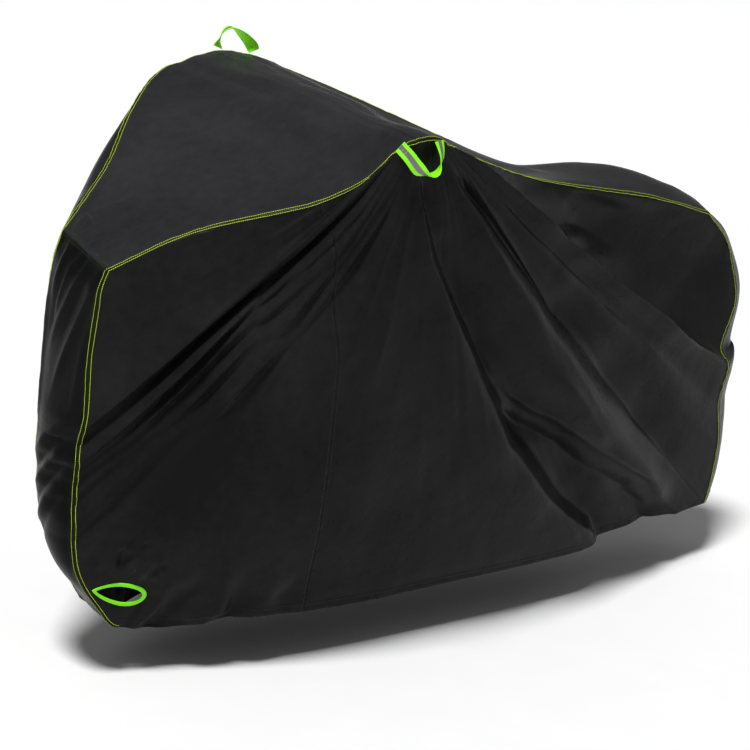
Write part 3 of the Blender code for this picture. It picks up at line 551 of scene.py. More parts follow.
    def surface(self, rib, share):
        """Points with their true normals, for stitching."""
        low, high = np.maximum(rib - 0.01, 0.0), np.minimum(rib + 0.01, LAST)
        near, far = np.maximum(share - 0.0015, 0.0), np.minimum(share + 0.0015, 1.0)
        normal = np.cross(self.points(high, share) - self.points(low, share),
                          self.points(rib, far) - self.points(rib, near))
        return self.points(rib, share), unit(normal) * self.way

    def edge(self, rib, share):
        """Points on a seam, where only the folds stand out."""
        share = np.full(rib.shape, float(share))
        return self.base(rib, share) + self.normal(rib, share) * self.relief(rib, share)[..., None]


def share_rows(length, rows):
    """Rows of a rib as shares of its length, close together beside both seams."""
    near = np.array(SEAM_ROWS)
    scale = np.minimum(1.0, length / 0.06)[..., None]
    first = near * scale / np.maximum(length, 1e-4)[..., None]
    inner = rows - 2 * len(near)
    t = np.arange(1, inner + 1) / (inner + 1)
    start, stop = first[..., -1:], 1.0 - first[..., -1:]
    return np.concatenate((first, start + (stop - start) * t, 1.0 - first[..., ::-1]), -1)


def side_grid(side, columns):
    """The (rib, share) grid of a side: columns close together where its ribs or its folds are."""
    all_ribs = np.arange(LAST + 1.0)
    foot, top = (gaps(side.base(all_ribs, np.full(LAST + 1, share))) for share in (1.0, 0.0))
    place = sums(STEP_WEIGHT * side.count + foot / FOOT_PITCH + top / TOP_PITCH)
    ribs = np.interp(np.linspace(0.0, place[-1], columns + 1), place, all_ribs)
    return np.repeat(ribs[:, None], ROWS, 1), share_rows(side.length(ribs), ROWS)


# ---------------------------------------------------------------- the strips

def smoothed(values, half):
    """A running mean over 2 * half + 1 neighbours, with the ends held."""
    padded = np.concatenate((np.repeat(values[:1], half, 0), values, np.repeat(values[-1:], half, 0)))
    kernel = np.ones(2 * half + 1) / (2 * half + 1)
    columns = padded.reshape(len(padded), -1)
    return np.stack([np.convolve(c, kernel, "valid") for c in columns.T], -1).reshape(values.shape)


def strip_stations(stations, edges_of, ends):
    """The stations with extra ones close beside the end seams."""
    extra, near = [], []
    for end, way in ends:
        a, b = (sum(edges_of(np.array([at]))) * 0.5 for at in (end, end + way * 0.2))
        speed = np.linalg.norm(b - a) / 0.2
        extra += [end + way * d / speed for d in SEAM_ROWS[1:]]
        near.append((end, (SEAM_ROWS[-1] + 0.002) / speed))
    kept = [s for s in stations if all(abs(s - end) < 1e-9 or abs(s - end) > reach for end, reach in near)]
    return np.array(sorted(set(np.round(kept + extra, 6))))


class Strip:
    """A strip of cloth between two seams: its grid, out ways and the metric places across and along."""

    def __init__(self, station, edges_of, crown_table, half):
        left, right = edges_of(station)
        self.station = station
        width = np.linalg.norm(right - left, axis=-1)
        self.across = share_rows(width, STRIP_COLUMNS)
        table = np.array(crown_table, float)
        crown = smoothed(np.interp(station, table[:, 0], table[:, 1] * MM), half)
        middle = 0.5 * (left + right)
        out = unit(np.cross(right - left, np.gradient(middle, axis=0)))
        out = np.where(np.sum(out * (middle - INSIDE), -1, keepdims=True) > 0.0, out, -out)
        out = unit(smoothed(out, half))
        out[:, 2] = np.maximum(out[:, 2], -0.02)
        out = unit(out)
        a = self.across[..., None]
        arch = 1.0 - (2.0 * a - 1.0) ** 2
        self.base = left[:, None] + (right - left)[:, None] * a + out[:, None] * arch * crown[:, None, None]
        self.grid = self.base
        self.out = out[:, None] + 0.0 * self.base
        self.width = width[:, None]
        self.along = sums(gaps(middle))[:, None]
        self.side_distance = np.minimum(self.across, 1.0 - self.across) * self.width

    def displace(self, amount):
        normal = unit(np.cross(np.gradient(self.base, axis=0), np.gradient(self.base, axis=1)))
        normal = np.where(np.sum(normal * self.out, -1, keepdims=True) > 0.0, normal, -normal)
        self.grid = self.base + normal * amount[..., None]

    def line(self, offset, right):
        """The places at a distance from one of the long seams."""
        at = np.minimum(offset / self.width[:, 0], 0.5)
        at = 1.0 - at if right else at
        return np.stack([sample(*row) for row in zip(at, self.across, self.grid)])

    def cross_line(self, distance):
        """The places at a distance along the strip from its first station."""
        along = self.along[:, 0]
        place = np.interp(distance, along, np.arange(len(along)))
        k = int(place)
        return self.grid[k] + (self.grid[k + 1] - self.grid[k]) * (place - k)


def strip_creases(strip, rows):
    x = (strip.across - 0.5) * strip.width
    y = strip.along + 0.0 * x
    total = np.zeros_like(x)
    for out, a0, y0, a1, y1, reach, sharp in rows:
        w0, w1 = (np.interp(v, strip.along[:, 0], strip.width[:, 0]) for v in (y0, y1))
        p0, p1 = np.array(((a0 - 0.5) * w0, y0)), np.array(((a1 - 0.5) * w1, y1))
        run = p1 - p0
        t = np.clip(((x - p0[0]) * run[0] + (y - p0[1]) * run[1]) / (run @ run), 0.0, 1.0)
        far = np.hypot(x - p0[0] - t * run[0], y - p0[1] - t * run[1])
        life = ease(t / 0.35) * ease((1.0 - t) / 0.35)
        total += out * MM * life * np.exp(-(far / (reach * MM)) ** sharp)
    return total


def strip_relief(strip, rows, seed):
    """Creases, dents, puckers beside the seams, gathers at the cross seam, and the lift of allowances and hem."""
    base, beside = strip.base, strip.side_distance
    edge = ease(beside / 0.03)
    first = ease(strip.along / 0.012)
    end = strip.along[-1] - strip.along
    total = strip_creases(strip, rows) * ease(beside / 0.012) * first * ease(end / 0.02)
    total += (0.0055 * noise(base, 0.19, seed) + 0.0024 * noise(base, 0.075, seed + 1)) * edge * first
    total += welt(beside)
    total += welt(strip.along)
    total += puckers(base, beside, 0.0008, 0.014, seed + 2, seed + 3)
    gather = noise(base * np.array((0.3, 1.0, 0.3)), 0.016, seed + 4)
    total += 0.0040 * gather * np.exp(-(strip.along / 0.034) ** 2) * ease(strip.along / 0.003) * edge
    total += welt(end, HEM_ALLOWANCE)
    return total


# ---------------------------------------------------------------- meshes

@contextmanager
def opened(data):
    """A mesh's copy to work on, which is written back at the end."""
    mesh = bmesh.new()
    mesh.from_mesh(data)
    yield mesh
    mesh.to_mesh(data)
    mesh.free()


def tree_of(thing):
    """A thing's faces, for rays to hit."""
    mesh = bmesh.new()
    mesh.from_mesh(thing.data)
    tree = BVHTree.FromBMesh(mesh)
    mesh.free()
    return tree


def placed(name, data):
    made = bpy.data.objects.new(name, data)
    bpy.context.scene.collection.objects.link(made)
    return made


def new_object(name, points, faces, materials, indexes=None, smooth=True, angle=0.75):
    mesh = bpy.data.meshes.new(name)
    mesh.from_pydata([tuple(p) for p in np.asarray(points).reshape(-1, 3)], [], faces)
    for m in materials:
        mesh.materials.append(m)
    if indexes is not None:
        mesh.polygons.foreach_set("material_index", np.asarray(indexes, np.int32))
    if smooth:
        mesh.shade_smooth()
        mesh.set_sharp_from_angle(angle=angle)
    return placed(name, mesh)


def clean(thing, distance=2e-5):
    """Merges doubled points, drops empty faces and turns all faces out."""
    with opened(thing.data) as mesh:
        bmesh.ops.remove_doubles(mesh, verts=mesh.verts[:], dist=distance)
        bmesh.ops.dissolve_degenerate(mesh, dist=1e-6, edges=mesh.edges[:])
        bmesh.ops.recalc_face_normals(mesh, faces=mesh.faces[:])
    thing.data.set_sharp_from_angle(angle=0.75)


def face_out(thing):
    with opened(thing.data) as mesh:
        bmesh.ops.recalc_face_normals(mesh, faces=mesh.faces[:])


def shell(name, points, out, material):
    """A closed sheet of cloth around a grid of middle points."""
    columns, rows = points.shape[:2]
    normal = np.cross(np.gradient(points, axis=0), np.gradient(points, axis=1))
    length = np.linalg.norm(normal, axis=-1, keepdims=True)
    normal = np.where(length > 1e-13, normal / np.maximum(length, 1e-13), out)
    normal = np.where(np.sum(normal * out, -1, keepdims=True) > 0.0, normal, -normal)
    normal[0], normal[-1] = normal[1], normal[-2]
    both = [(points + half * CLOTH * normal).reshape(-1, 3) for half in (0.5, -0.5)]
    count = columns * rows
    index = np.arange(count).reshape(columns, rows)
    quads = np.stack((index[:-1, :-1], index[1:, :-1], index[1:, 1:], index[:-1, 1:]), -1).reshape(-1, 4)
    rim = np.concatenate((index[:, 0], index[-1, 1:], index[-2::-1, -1], index[0, -2:0:-1]))
    after = np.roll(rim, -1)
    walls = np.stack((rim, rim + count, after + count, after), -1)
    faces = np.concatenate((quads, quads[:, ::-1] + count, walls)).tolist()
    return new_object(name, np.concatenate(both), faces, [material])


def join_plane():
    """The upright join's upper end, the way to the rear across it and the way down it."""
    top, foot = (Vector((x, 0.0, height - RIDGE_HEIGHT)) for x, height in (JOIN_TOP, JOIN_FOOT))
    down = (foot - top).normalized()
    return top, Vector((-down.z, 0.0, down.x)), down


def half_of(thing, name, way):
    """The part of a side in front of (way -1) or behind (way 1) the upright join."""
    top, rearward, _ = join_plane()
    data = thing.data.copy()
    with opened(data) as mesh:
        cut = bmesh.ops.bisect_plane(mesh, geom=mesh.verts[:] + mesh.edges[:] + mesh.faces[:], dist=1e-6,
                                     plane_co=top + rearward * way * SEAM_GAP / 2, plane_no=rearward * -way,
                                     clear_outer=True)
        edges = [e for e in cut["geom_cut"] if isinstance(e, bmesh.types.BMEdge) and e.is_boundary]
        bmesh.ops.holes_fill(mesh, edges=edges, sides=0)
        bmesh.ops.triangulate(mesh, faces=[f for f in mesh.faces if len(f.verts) > 4])
    data.name = name
    return placed(name, data)


def add_uv(thing, first, second):
    """Cloth coordinates in metres, planar along two ways of the part's frame."""
    mesh = thing.data
    at = np.empty(len(mesh.loops), np.int32)
    mesh.loops.foreach_get("vertex_index", at)
    co = np.empty(len(mesh.vertices) * 3, np.float32)
    mesh.vertices.foreach_get("co", co)
    co = co.reshape(-1, 3)[at]
    uv = np.stack((co @ np.array(first, np.float32), co @ np.array(second, np.float32)), -1)
    mesh.uv_layers.new(name="cloth").uv.foreach_set("vector", uv.astype(np.float32).ravel())


def resample(line, normals, pitch):
    """Evenly spaced places on a line, with the way it runs and its normal."""
    keep = np.concatenate(([True], gaps(line) > 1e-7))
    line, normals = line[keep], normals[keep]
    along = sums(gaps(line))
    count = max(2, int(along[-1] / pitch))
    at = (np.arange(count) + 0.5) * along[-1] / count
    ahead, behind = sample(at + 0.4 * pitch, along, line), sample(at - 0.4 * pitch, along, line)
    return sample(at, along, line), unit(ahead - behind), unit(sample(at, along, normals))


def stitches(name, lines, material, pitch=0.0040, length=0.0035, width=0.0013, height=0.0011, lift=0.0004):
    """Rows of raised stitches. Each line is (points, normals)."""
    rings = ((-0.50, 0.35, 0.20), (-0.30, 0.95, 0.85), (0.30, 0.95, 0.85), (0.50, 0.35, 0.20))   # along, wide, tall
    corners = ((-1.0, -0.4), (-0.55, 0.8), (0.55, 0.8), (1.0, -0.4))                             # across, up
    one = [(4 * ring + k, 4 * ring + (k + 1) % 4, 4 * ring + (k + 1) % 4 + 4, 4 * ring + k + 4)
           for ring in range(3) for k in range(4)]
    one = np.array(one + [(3, 2, 1, 0), (12, 13, 14, 15)])
    points, faces, base = [], [], 0
    for line, normals in lines:
        place, along, normal = resample(np.asarray(line), np.asarray(normals), pitch)
        side = unit(np.cross(normal, along))
        normal = np.cross(along, side)
        block = np.stack([place + along * (a * length) + side * (v * wide * width / 2)
                          + normal * (lift + w * tall * height / 2) for a, wide, tall in rings for v, w in corners], 1)
        points.append(block.reshape(-1, 3))
        faces.append((one[None] + base + 16 * np.arange(len(place))[:, None, None]).reshape(-1, 4))
        base += 16 * len(place)
    made = new_object(name, np.concatenate(points), np.concatenate(faces).tolist(), [material], angle=1.2)
    face_out(made)
    return made


# ---------------------------------------------------------------- materials

class Nodes:
    """A few words for building a material's nodes."""

    def __init__(self, name):
        self.material = bpy.data.materials.new(name)
        self.material.use_nodes = True
        self.tree = self.material.node_tree
        self.shader = self.tree.nodes["Principled BSDF"]
        where = self.add("TexCoord")
        self.uv, self.place = where.outputs["UV"], where.outputs["Object"]

    def add(self, kind, vector=None, **values):
        node = self.tree.nodes.new("ShaderNode" + kind)
        for key, value in values.items():
            if hasattr(node, key):
                setattr(node, key, value)
            else:
                node.inputs[key].default_value = value
        if vector is not None:
            self.link(vector, node.inputs["Vector"])
        return node

    def link(self, start, end):
        self.tree.links.new(start, end)

    def math(self, operation, *values):
        node = self.add("Math", operation=operation)
        for socket, value in zip(node.inputs, values):
            if isinstance(value, float):
                socket.default_value = value
            else:
                self.link(value, socket)
        return node.outputs[0]

    def ramp(self, factor, *stops):
        node = self.add("ValToRGB")
        elements = node.color_ramp.elements
        while len(elements) < len(stops):
            elements.new(0.5)
        for element, (place, color) in zip(elements, stops):
            element.position = place
            element.color = (*color, 1.0)
        self.link(factor, node.inputs["Fac"])
        return node.outputs["Color"]

    def noise(self, scale, detail, rough=0.5):
        return self.add("TexNoise", self.place, Scale=scale, Detail=detail, Roughness=rough).outputs["Fac"]

    def bands(self, way, scale, distortion):
        return self.add("TexWave", self.uv, wave_type="BANDS", bands_direction=way, Scale=scale,
                        Distortion=distortion).outputs["Fac"]

    def bump(self, height, strength, distance, under=None):
        node = self.add("Bump", Strength=strength, Distance=distance)
        self.link(height, node.inputs["Height"])
        if under is not None:
            self.link(under, node.inputs["Normal"])
        return node.outputs["Normal"]

    def shade(self, **values):
        """Sets or links the shader's inputs."""
        for key, value in values.items():
            socket = self.shader.inputs[key.replace("_", " ")]
            if isinstance(value, bpy.types.NodeSocket):
                self.link(value, socket)
            else:
                socket.default_value = value


def cloth_material(name, dark, light):
    """Coated plain-weave polyester: near black, satin, with a fine weave and soft variation."""
    n = Nodes(name)
    large, small, crinkle = n.noise(3.2, 3.0, 0.55), n.noise(46.0, 4.0, 0.6), n.noise(70.0, 5.0, 0.62)
    stretched = n.add("Mapping", n.uv, Scale=(60.0, 1500.0, 1.0)).outputs["Vector"]
    thread = n.add("TexNoise", stretched, Scale=1.0, Detail=2.0).outputs["Fac"]
    mixed = n.math("MULTIPLY_ADD", large, 0.6, n.math("MULTIPLY", small, 0.25))
    mixed = n.math("ADD", mixed, n.math("MULTIPLY", thread, 0.15))
    # the colour moves up the ramp, towards a dark green, beside the seams
    beside_seam = n.add("Attribute", attribute_name="edge").outputs["Fac"]
    tone = n.math("MULTIPLY_ADD", beside_seam, 0.35, mixed)
    weave = n.math("MAXIMUM", n.bands("X", 330.0, 0.6), n.bands("Y", 330.0, 0.6))
    rough = n.math("MULTIPLY_ADD", small, 0.08, 0.20)
    n.shade(Base_Color=n.ramp(tone, (0.40, dark), (0.62, light), (1.0, (0.016, 0.024, 0.008))),
            Normal=n.bump(crinkle, 0.45, 0.0014, n.bump(weave, 0.10, 0.0002)),
            Roughness=n.math("MULTIPLY_ADD", large, 0.10, rough), Specular_IOR_Level=0.05)
    return n.material


def tape_material(name, dark, light, rough=0.6, metallic=0.0, painted_glow=0.0):
    """Woven tape, its ribs across its length, with a painted glow when one is given."""
    n = Nodes(name)
    soft = n.noise(120.0, 3.0)
    tone = n.math("MULTIPLY_ADD", n.bands("X", 290.0, 0.8), 0.45, n.math("MULTIPLY", soft, 0.35))
    tone = n.math("MULTIPLY_ADD", n.bands("Y", 480.0, 0.5), 0.20, tone)
    n.shade(Base_Color=n.ramp(tone, (0.15, dark), (0.75, light)), Normal=n.bump(tone, 0.35, 0.0003),
            Roughness=n.math("MULTIPLY_ADD", soft, 0.15, rough - 0.07), Metallic=metallic, Specular_IOR_Level=0.35)
    # painted glow: the tape gives off light of its own colour
    if painted_glow:
        n.shade(Emission_Color=(*light, 1.0), Emission_Strength=painted_glow)
    return n.material


def thread_material(name, dark, light):
    """Twisted thread."""
    n = Nodes(name)
    twist = n.noise(900.0, 2.0)
    n.shade(Base_Color=n.ramp(twist, (0.3, dark), (0.7, light)), Roughness=n.math("MULTIPLY_ADD", twist, 0.2, 0.4))
    return n.material


def floor_material(color):
    n = Nodes("floor")
    n.shade(Base_Color=n.ramp(n.noise(8.0, 3.0), (0.3, tuple(0.985 * v for v in color)), (0.7, color)), Roughness=0.6)
    return n.material


# ---------------------------------------------------------------- slits and loops

def eyelet(name, way, cloth, binding, thread):
    """Cuts the slit into the cloth and fits its folded binding, with a row of stitches."""
    tree = tree_of(cloth)
    x, height = EYELET_MIDDLE[name]
    count = EYELET_STEPS

    def hit(dx, dz):
        start = Vector((x + dx, way, height - RIDGE_HEIGHT + dz))
        return tree.ray_cast(start, Vector((0.0, -way, 0.0)))

    spread = [hit(dx, dz) for dx in (-0.03, -0.015, 0.0, 0.015, 0.03) for dz in (-0.012, 0.0, 0.012)]
    spread = [h for h in spread if h[0] is not None]
    outward = sum((h[1] if h[1].y * way > 0 else -h[1] for h in spread), Vector()).normalized()
    middle = hit(0.0, 0.0)[0]
    lean = np.radians(EYELET_LEAN)
    u = Vector((np.cos(lean), 0.0, -np.sin(lean)))
    u = (u - outward * outward.dot(u)).normalized()
    v = outward.cross(u) * way
    out = np.array(outward)

    def plane(inset):
        """The outline within the binding's, pointed in front and round behind, in the plane of the slit."""
        turn = np.linspace(0.0, 2.0 * np.pi, count, endpoint=False)
        length, tall = EYELET[0] / 2 - inset, EYELET[1] / 2 - inset
        swell = 1.15 * np.sin(turn / 2) ** 0.6
        return [middle + u * float(a) + v * float(b)
                for a, b in zip(-length * np.cos(turn), tall * np.sin(turn) * swell)]

    # the cloth's height over that plane all round, taken where it stands highest under the binding
    heights = []
    for points in zip(plane(0.0), plane(0.0045), plane(0.0090)):
        found = [tree.ray_cast(point + outward * EYELET_REACH, -outward, 2 * EYELET_REACH)[0] for point in points]
        heights.append(max([(f - middle).dot(outward) for f in found if f] or [0.0]))
    kernel = np.hanning(15) / np.hanning(15).sum()
    heights = np.convolve(np.concatenate((heights[-7:], heights, heights[:7])), kernel, "valid")

    def on_cloth(inset, lift):
        return np.array([p[:] for p in plane(inset)]) + out * (heights + lift)[:, None]

    bands = len(BINDING)
    faces = []
    for band in range(bands):
        for step in range(count):
            a, b, after = band * count, (band + 1) % bands * count, (step + 1) % count
            faces.append((a + step, b + step, b + after, a + after))
    ring = new_object("binding_" + name, [on_cloth(inset * MM, lift * MM) for inset, lift in BINDING], faces,
                      [binding], angle=1.2)
    clean(ring, 1e-6)
    layer = ring.data.uv_layers.new(name="cloth")
    for loop in ring.data.loops:
        band, step = divmod(loop.vertex_index, count)
        layer.uv[loop.index].vector = (step / count * 0.27, band * 0.002)

    row = on_cloth(*EYELET_SEWN)
    sewn = [(np.concatenate((row, row[:1])), np.repeat(out[None], count + 1, 0))]
    rows = stitches("stitches_eyelet_" + name, sewn, thread, pitch=0.0034, length=0.0028, width=0.0009,
                    height=0.0008, lift=0.0001)

    cut = [p + outward * (h + lift) for lift in (EYELET_REACH, -EYELET_REACH)
           for p, h in zip(plane(EYELET_CUT), heights)]
    caps = [tuple(range(count)), tuple(range(2 * count - 1, count - 1, -1))]
    walls = [(k, k + count, (k + 1) % count + count, (k + 1) % count) for k in range(count)]
    cutter = new_object("eyelet_cutter", [p[:] for p in cut], caps + walls, [], smooth=False)
    clean(cutter, 1e-6)
    modifier = cloth.modifiers.new("cut", "BOOLEAN")
    modifier.operation = "DIFFERENCE"
    modifier.solver = "EXACT"
    modifier.object = cutter
    whole = cloth.data
    graph = bpy.context.evaluated_depsgraph_get()
    cloth_cut = bpy.data.meshes.new_from_object(cloth.evaluated_get(graph))
    cloth.modifiers.clear()
    cloth.data = cloth_cut
    bpy.data.meshes.remove(whole)
    bpy.data.objects.remove(cutter)
    return ring, rows


def spline(rows, fine):
    """A smooth path through the rows, fine points to each."""
    rows = np.array(rows, float)
    ends = np.concatenate((2 * rows[:1] - rows[1:2], rows, 2 * rows[-1:] - rows[-2:-1]))
    found = []
    for k in range(len(rows) - 1):
        p0, p1, p2, p3 = ends[k:k + 4]
        for t in np.linspace(0.0, 1.0, fine, endpoint=False):
            found.append(0.5 * (2 * p1 + (p2 - p0) * t + (2 * p0 - 5 * p1 + 4 * p2 - p3) * t * t
                                + (3 * p1 - p0 - 3 * p2 + p3) * t**3))
    return np.array(found + [rows[-1]])


def webbing_loop(name, rows, way, materials, thread, inner_from, outer_to):
    """A loop of webbing; its stripe shows on the inner face from one share of its length, on the outer to another."""
    table = spline(rows, 10)
    line = np.stack((table[:, 0] * MM, way * table[:, 1] * MM, table[:, 2] * MM - RIDGE_HEIGHT), -1)
    width = unit(np.stack((table[:, 3], way * table[:, 4], table[:, 5]), -1))
    along = unit(np.gradient(line, axis=0))
    width = unit(width - along * np.sum(width * along, axis=1, keepdims=True))
    through = np.cross(along, width)
    if through[0, 1] * way < 0.0:
        through = -through
    bumps = 1.0 + 0.02 * np.sin(np.arange(len(line)) * 2.1)
    points = np.stack([line + width * (a * WEBBING[0] / 2) * bumps[:, None] + through * (t * WEBBING[1] / 2)
                       for a, t, _ in BAND], 1)
    faces, marks, n = [], [], len(BAND)
    for ring in range(len(line) - 1):
        striped = {0: False, 1: ring <= outer_to * len(line), 2: ring > inner_from * len(line)}
        for k in range(n):
            a, b = n * ring + k, n * ring + (k + 1) % n
            faces.append((a, b, b + n, a + n))
            marks.append(int(striped[BAND[k][2]]))
    last = n * (len(line) - 1)
    faces += [tuple(range(n - 1, -1, -1)), tuple(last + k for k in range(n))]
    marks += [0, 0]
    loop = new_object("webbing_" + name, points, faces, materials, marks, angle=0.9)
    face_out(loop)
    length = sums(gaps(line))
    layer = loop.data.uv_layers.new(name="cloth")
    for corner in loop.data.loops:
        ring, k = divmod(corner.vertex_index, n)
        layer.uv[corner.index].vector = (length[ring], BAND[k][0] * WEBBING[0] / 2)
    # two rows across each sewn end, on both faces
    rows, t = [], np.linspace(0.0, 1.0, 12)[:, None]
    for ring in (3, 6, len(line) - 7, len(line) - 4):
        for face in (1.0, -1.0):
            a, b = (line[ring] + width[ring] * WEBBING[0] * end for end in (-0.42, 0.42))
            lift = through[ring] * face * WEBBING[1] / 2
            rows.append((a + (b - a) * t + lift, np.repeat(through[ring][None] * face, 12, 0)))
    sewn = stitches("stitches_loop_" + name, rows, thread, pitch=0.0030, length=0.0026, width=0.0008,
                    height=0.0006, lift=0.0)
    return loop, sewn


# ---------------------------------------------------------------- build

# One black cloth in three lit and shaded copies: the top's lighter base colour is painted light from above, the front
# strip's darker one is painted shade, and the top's violet and the sides' green tints are painted reflections
TOP_CLOTH_PAINTED_LIT = cloth_material("cloth_top", (0.0255, 0.0255, 0.0275), (0.0410, 0.0408, 0.0435))
SIDE_CLOTH = cloth_material("cloth_side", (0.0125, 0.0134, 0.0125), (0.0240, 0.0250, 0.0240))
FRONT_CLOTH_PAINTED_SHADE = cloth_material("cloth_front", (0.0060, 0.0065, 0.0062), (0.0100, 0.0106, 0.0102))
# The neon webbing and binding get a painted glow: emission, though they are no lamp
NEON = tape_material("neon_webbing", (0.16, 0.70, 0.005), (0.36, 1.0, 0.02), painted_glow=0.10)
NEON_BINDING = tape_material("neon_binding", (0.13, 0.62, 0.005), (0.30, 0.95, 0.02), painted_glow=0.06)
STRIPE = tape_material("reflective_stripe", (0.17, 0.16, 0.18), (0.30, 0.29, 0.32), rough=0.35, metallic=0.3)
NEON_THREAD = thread_material("thread_neon", (0.42, 0.58, 0.020), (0.66, 0.84, 0.040))
BLACK_THREAD = thread_material("thread_black", (0.006, 0.006, 0.006), (0.020, 0.020, 0.021))

PIECES = {}
LEFT = Side(-1.0, LEFT_RIBS, LEFT_FOLDS, LEFT_CREASES, 100, 0.20, 0.0)
RIGHT = Side(1.0, RIGHT_RIBS, RIGHT_FOLDS, RIGHT_CREASES, 300, 0.85, 0.036)
SIDES = {"left": LEFT, "right": RIGHT}
HALVES = (("front", -1.0), ("rear", 1.0))


def seam_attribute(thing, distance):
    """How close each point is to a seam, from 0 to 1, by which the material turns the cloth's colour towards a dark
    green there.
    """
    layer = thing.data.attributes.new("edge", "FLOAT", "POINT")
    value = np.exp(-(distance / 0.006) ** 2).ravel().astype(np.float32)
    layer.data.foreach_set("value", np.concatenate((value, value)))


for name, side in SIDES.items():
    ribs, shares = side_grid(side, COLUMNS[name])
    whole = shell("side_" + name, side.points(ribs, shares), side.normal(ribs, shares), SIDE_CLOTH)
    on_hem = (ribs > FRONT_HEM_RIB) & (ribs < BACK_HEM_RIB)
    seam_attribute(whole, np.minimum(shares, np.where(on_hem, 1.0, 1.0 - shares)) * side.length(ribs))
    add_uv(whole, (1.0, 0.0, 0.0), (0.0, 0.0, 1.0))
    clean(whole)
    for half, way in HALVES:
        PIECES[f"{name}_{half}"] = half_of(whole, f"cover_{name}_{half}", way)
    bpy.data.objects.remove(whole)


def top_edges(station):
    """Both long seams of the top: the tops of the ribs, and from the back corner on the back seams."""
    on_top, on_back = np.minimum(station, LAST), np.clip(2 * LAST - station, BACK_HEM_RIB, LAST)
    return [np.where((station <= LAST)[:, None], side.edge(on_top, 0.0), side.edge(on_back, 1.0))
            for side in (LEFT, RIGHT)]


def front_edges(station):
    return [side.edge(station, 1.0) for side in (LEFT, RIGHT)]


fine_ribs = LEFT.rib_of(np.arange(0, LEFT.steps[-1] * STRIP_STEP + 1) / STRIP_STEP)
back_ribs = fine_ribs[(fine_ribs >= BACK_HEM_RIB) & (fine_ribs < LAST)][::-1]
top_stations = np.unique(np.concatenate((np.linspace(0.0, 1.5, 61), fine_ribs, 2 * LAST - back_ribs)))
top_stations = strip_stations(top_stations, top_edges, ((0.0, 1.0), (33.0, -1.0)))
front_stations = strip_stations(fine_ribs[fine_ribs <= FRONT_HEM_RIB], front_edges, ((0.0, 1.0), (8.0, -1.0)))
TOP = Strip(top_stations, top_edges, TOP_CROWN, 6)
TOP.displace(strip_relief(TOP, TOP_CREASES, 500))
FRONT = Strip(front_stations, front_edges, FRONT_CROWN, 4)
FRONT.displace(strip_relief(FRONT, FRONT_CREASES, 600))
for name, strip, cloth, ways in (("top", TOP, TOP_CLOTH_PAINTED_LIT, ((1.0, 0.0, -0.4), (0.0, 1.0, 0.0))),
                                 ("front", FRONT, FRONT_CLOTH_PAINTED_SHADE, ((0.3, 0.0, 1.0), (0.0, 1.0, 0.0)))):
    PIECES[name] = piece = shell("cover_" + name, strip.grid, strip.out, cloth)
    seam_attribute(piece, np.minimum(strip.side_distance, strip.along))
    add_uv(piece, *ways)
    clean(piece)

for name, side in SIDES.items():
    PIECES["eyelet_" + name], PIECES["eyelet_stitches_" + name] = eyelet(
        name, side.way, PIECES[name + "_front"], NEON_BINDING, NEON_THREAD)

for name, rows, inner_from, outer_to in (("left", LEFT_LOOP, 0.66, 1.0), ("right", RIGHT_LOOP, 1.0, 0.45)):
    PIECES["loop_" + name], PIECES["loop_stitches_" + name] = webbing_loop(
        name, rows, SIDES[name].way, [NEON, STRIPE], NEON_THREAD, inner_from, outer_to)


# ---------------------------------------------------------------- topstitching

def side_line(side, ribs, offset, from_foot):
    """Where stitches run on a side, at a distance from its top seam or its foot."""
    share = np.minimum(offset / np.maximum(side.length(ribs), 1e-4), 0.5)
    points, normal = side.surface(ribs, 1.0 - share if from_foot else share)
    return points + normal * (CLOTH / 2 + 0.0006), normal


def strip_line(strip, right, keep):
    """Where stitches run on a strip, beside its left or its right seam."""
    normal = strip.out[:, 0][keep]
    return strip.line(STITCH_OFFSET, right)[keep] + normal * CLOTH / 2, normal


def join_line(side, half, way):
    """Where stitches run beside the upright join, on the piece in front of it or behind it."""
    top, rearward, down = join_plane()
    tree = tree_of(half)
    line = []
    for at in np.arange(0.010, 0.880, 0.002):
        spot = top + rearward * way * JOIN_OFFSET + down * float(at)
        place, out = tree.ray_cast(Vector((spot.x, side.way * 0.6, spot.z)), Vector((0.0, -side.way, 0.0)))[:2]
        if place is not None:
            line.append((place[:], (out if out.y * side.way > 0.0 else -out)[:]))
    line = np.array(line)
    return line[:, 0], line[:, 1]


for name, side in SIDES.items():
    dense = side.rib_of(np.linspace(0.0, side.steps[-1], 1400))
    seams = {
        "top": (dense[(dense > 0.02) & (dense < LAST - 0.02)], False, TOP, TOP.station <= LAST),
        "front": (dense[(dense > 0.02) & (dense <= FRONT_HEM_RIB)], True, FRONT, FRONT.station >= 0.0),
        "back": (dense[(dense >= BACK_HEM_RIB) & (dense < LAST - 0.02)], True, TOP, TOP.station >= LAST),
    }
    for seam, (ribs, at_foot, strip, keep) in seams.items():
        lines = [side_line(side, ribs, STITCH_OFFSET, at_foot), strip_line(strip, side is RIGHT, keep)]
        PIECES[f"stitch_{name}_{seam}"] = stitches(f"topstitch_{name}_{seam}", lines, NEON_THREAD)

    hem = dense[(dense >= FRONT_HEM_RIB) & (dense <= BACK_HEM_RIB)]
    black = [side_line(side, hem, HEM_OFFSET, True)]
    black += [join_line(side, PIECES[f"{name}_{half}"], way) for half, way in HALVES]
    PIECES[f"stitch_{name}_black"] = stitches(f"stitches_{name}_black", black, BLACK_THREAD, width=0.0009,
                                              height=0.0008)

black = []
for strip in (TOP, FRONT):
    for distance, row in ((CROSS_OFFSET, 1), (strip.along[-1, 0] - HEM_OFFSET, -2)):
        black.append((strip.cross_line(distance) + strip.out[row] * CLOTH / 2, strip.out[row]))
PIECES["stitch_black"] = stitches("stitches_ends_black", black, BLACK_THREAD, width=0.0010, height=0.0009)


# ---------------------------------------------------------------- what stands for what


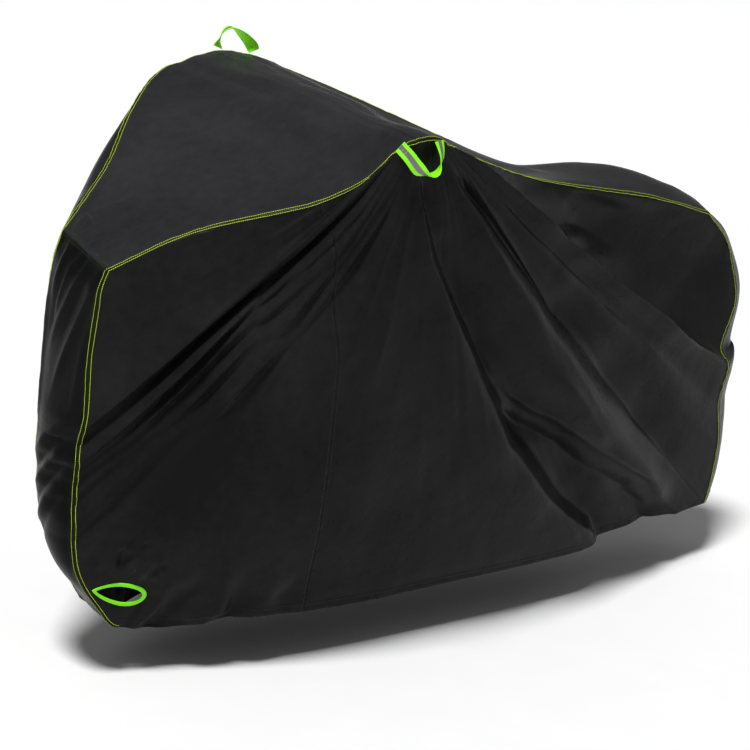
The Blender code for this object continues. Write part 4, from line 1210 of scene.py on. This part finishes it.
REPLACED = {"left_front": "side_left_front", "left_rear": "side_left_rear", "right_front": "side_right_front",
            "right_rear": "side_right_rear", "top": "top_panel", "front": "front_panel",
            "eyelet_left": "eyelet_left", "eyelet_right": "eyelet_right",
            "loop_left": "loop_left", "loop_right": "loop_right"}
for key, piece in PIECES.items():
    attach(piece, "root")
    if key in REPLACED:
        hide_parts(REPLACED[key])


# ---------------------------------------------------------------- camera, light and floor

CAMERA_ANGLES = (-42.0, 16.1, 6.5)       # azimuth, elevation and roll, in degrees
CAMERA_TARGET = (0.211, 0.0, -0.586)
CAMERA_DISTANCE = 5.3
FOCAL_LENGTH = 2620.0 / 750.0            # in widths of the picture
SENSOR_MM = 36.0


def camera():
    azimuth, elevation, roll = np.radians(CAMERA_ANGLES)
    back = np.array((np.sin(azimuth) * np.cos(elevation), -np.cos(azimuth) * np.cos(elevation), np.sin(elevation)))
    right = unit(np.cross(-back, (0.0, 0.0, 1.0)))
    up = np.cross(right, -back)
    axes = np.eye(4)
    axes[:3] = np.stack((right * np.cos(roll) + up * np.sin(roll), -right * np.sin(roll) + up * np.cos(roll),
                         back, CAMERA_TARGET + CAMERA_DISTANCE * back), -1)
    data = bpy.data.cameras.new("camera")
    data.sensor_width = SENSOR_MM
    data.lens = FOCAL_LENGTH * SENSOR_MM
    data.clip_end = 200.0
    made = placed("camera", data)
    made.matrix_world = Matrix(axes.tolist())
    bpy.context.scene.camera = made


def sun(name, place, power, spread):
    """A far lamp: its light runs from its place towards the origin."""
    data = bpy.data.lights.new(name, "SUN")
    data.energy = power
    data.angle = np.radians(spread)
    placed(name, data).rotation_euler = (-Vector(place)).to_track_quat("-Z", "Y").to_euler()


camera()
sun("key", (-0.45, -0.25, 1.0), 3.4, 12.0)

world = bpy.data.worlds.new("world")
world.use_nodes = True
background = world.node_tree.nodes["Background"]
background.inputs["Color"].default_value = (1.0, 1.0, 1.0, 1.0)
background.inputs["Strength"].default_value = 0.23
bpy.context.scene.world = world

corners = [(x, y, -RIDGE_HEIGHT) for x, y in ((-30, -30), (30, -30), (30, 30), (-30, 30))]
floor = new_object("floor", corners, [(0, 1, 2, 3)], [floor_material((0.93, 0.93, 0.93))], smooth=False)
bpy.context.scene.view_settings.view_transform = "Standard"
bpy.context.scene.view_settings.gamma = 0.86
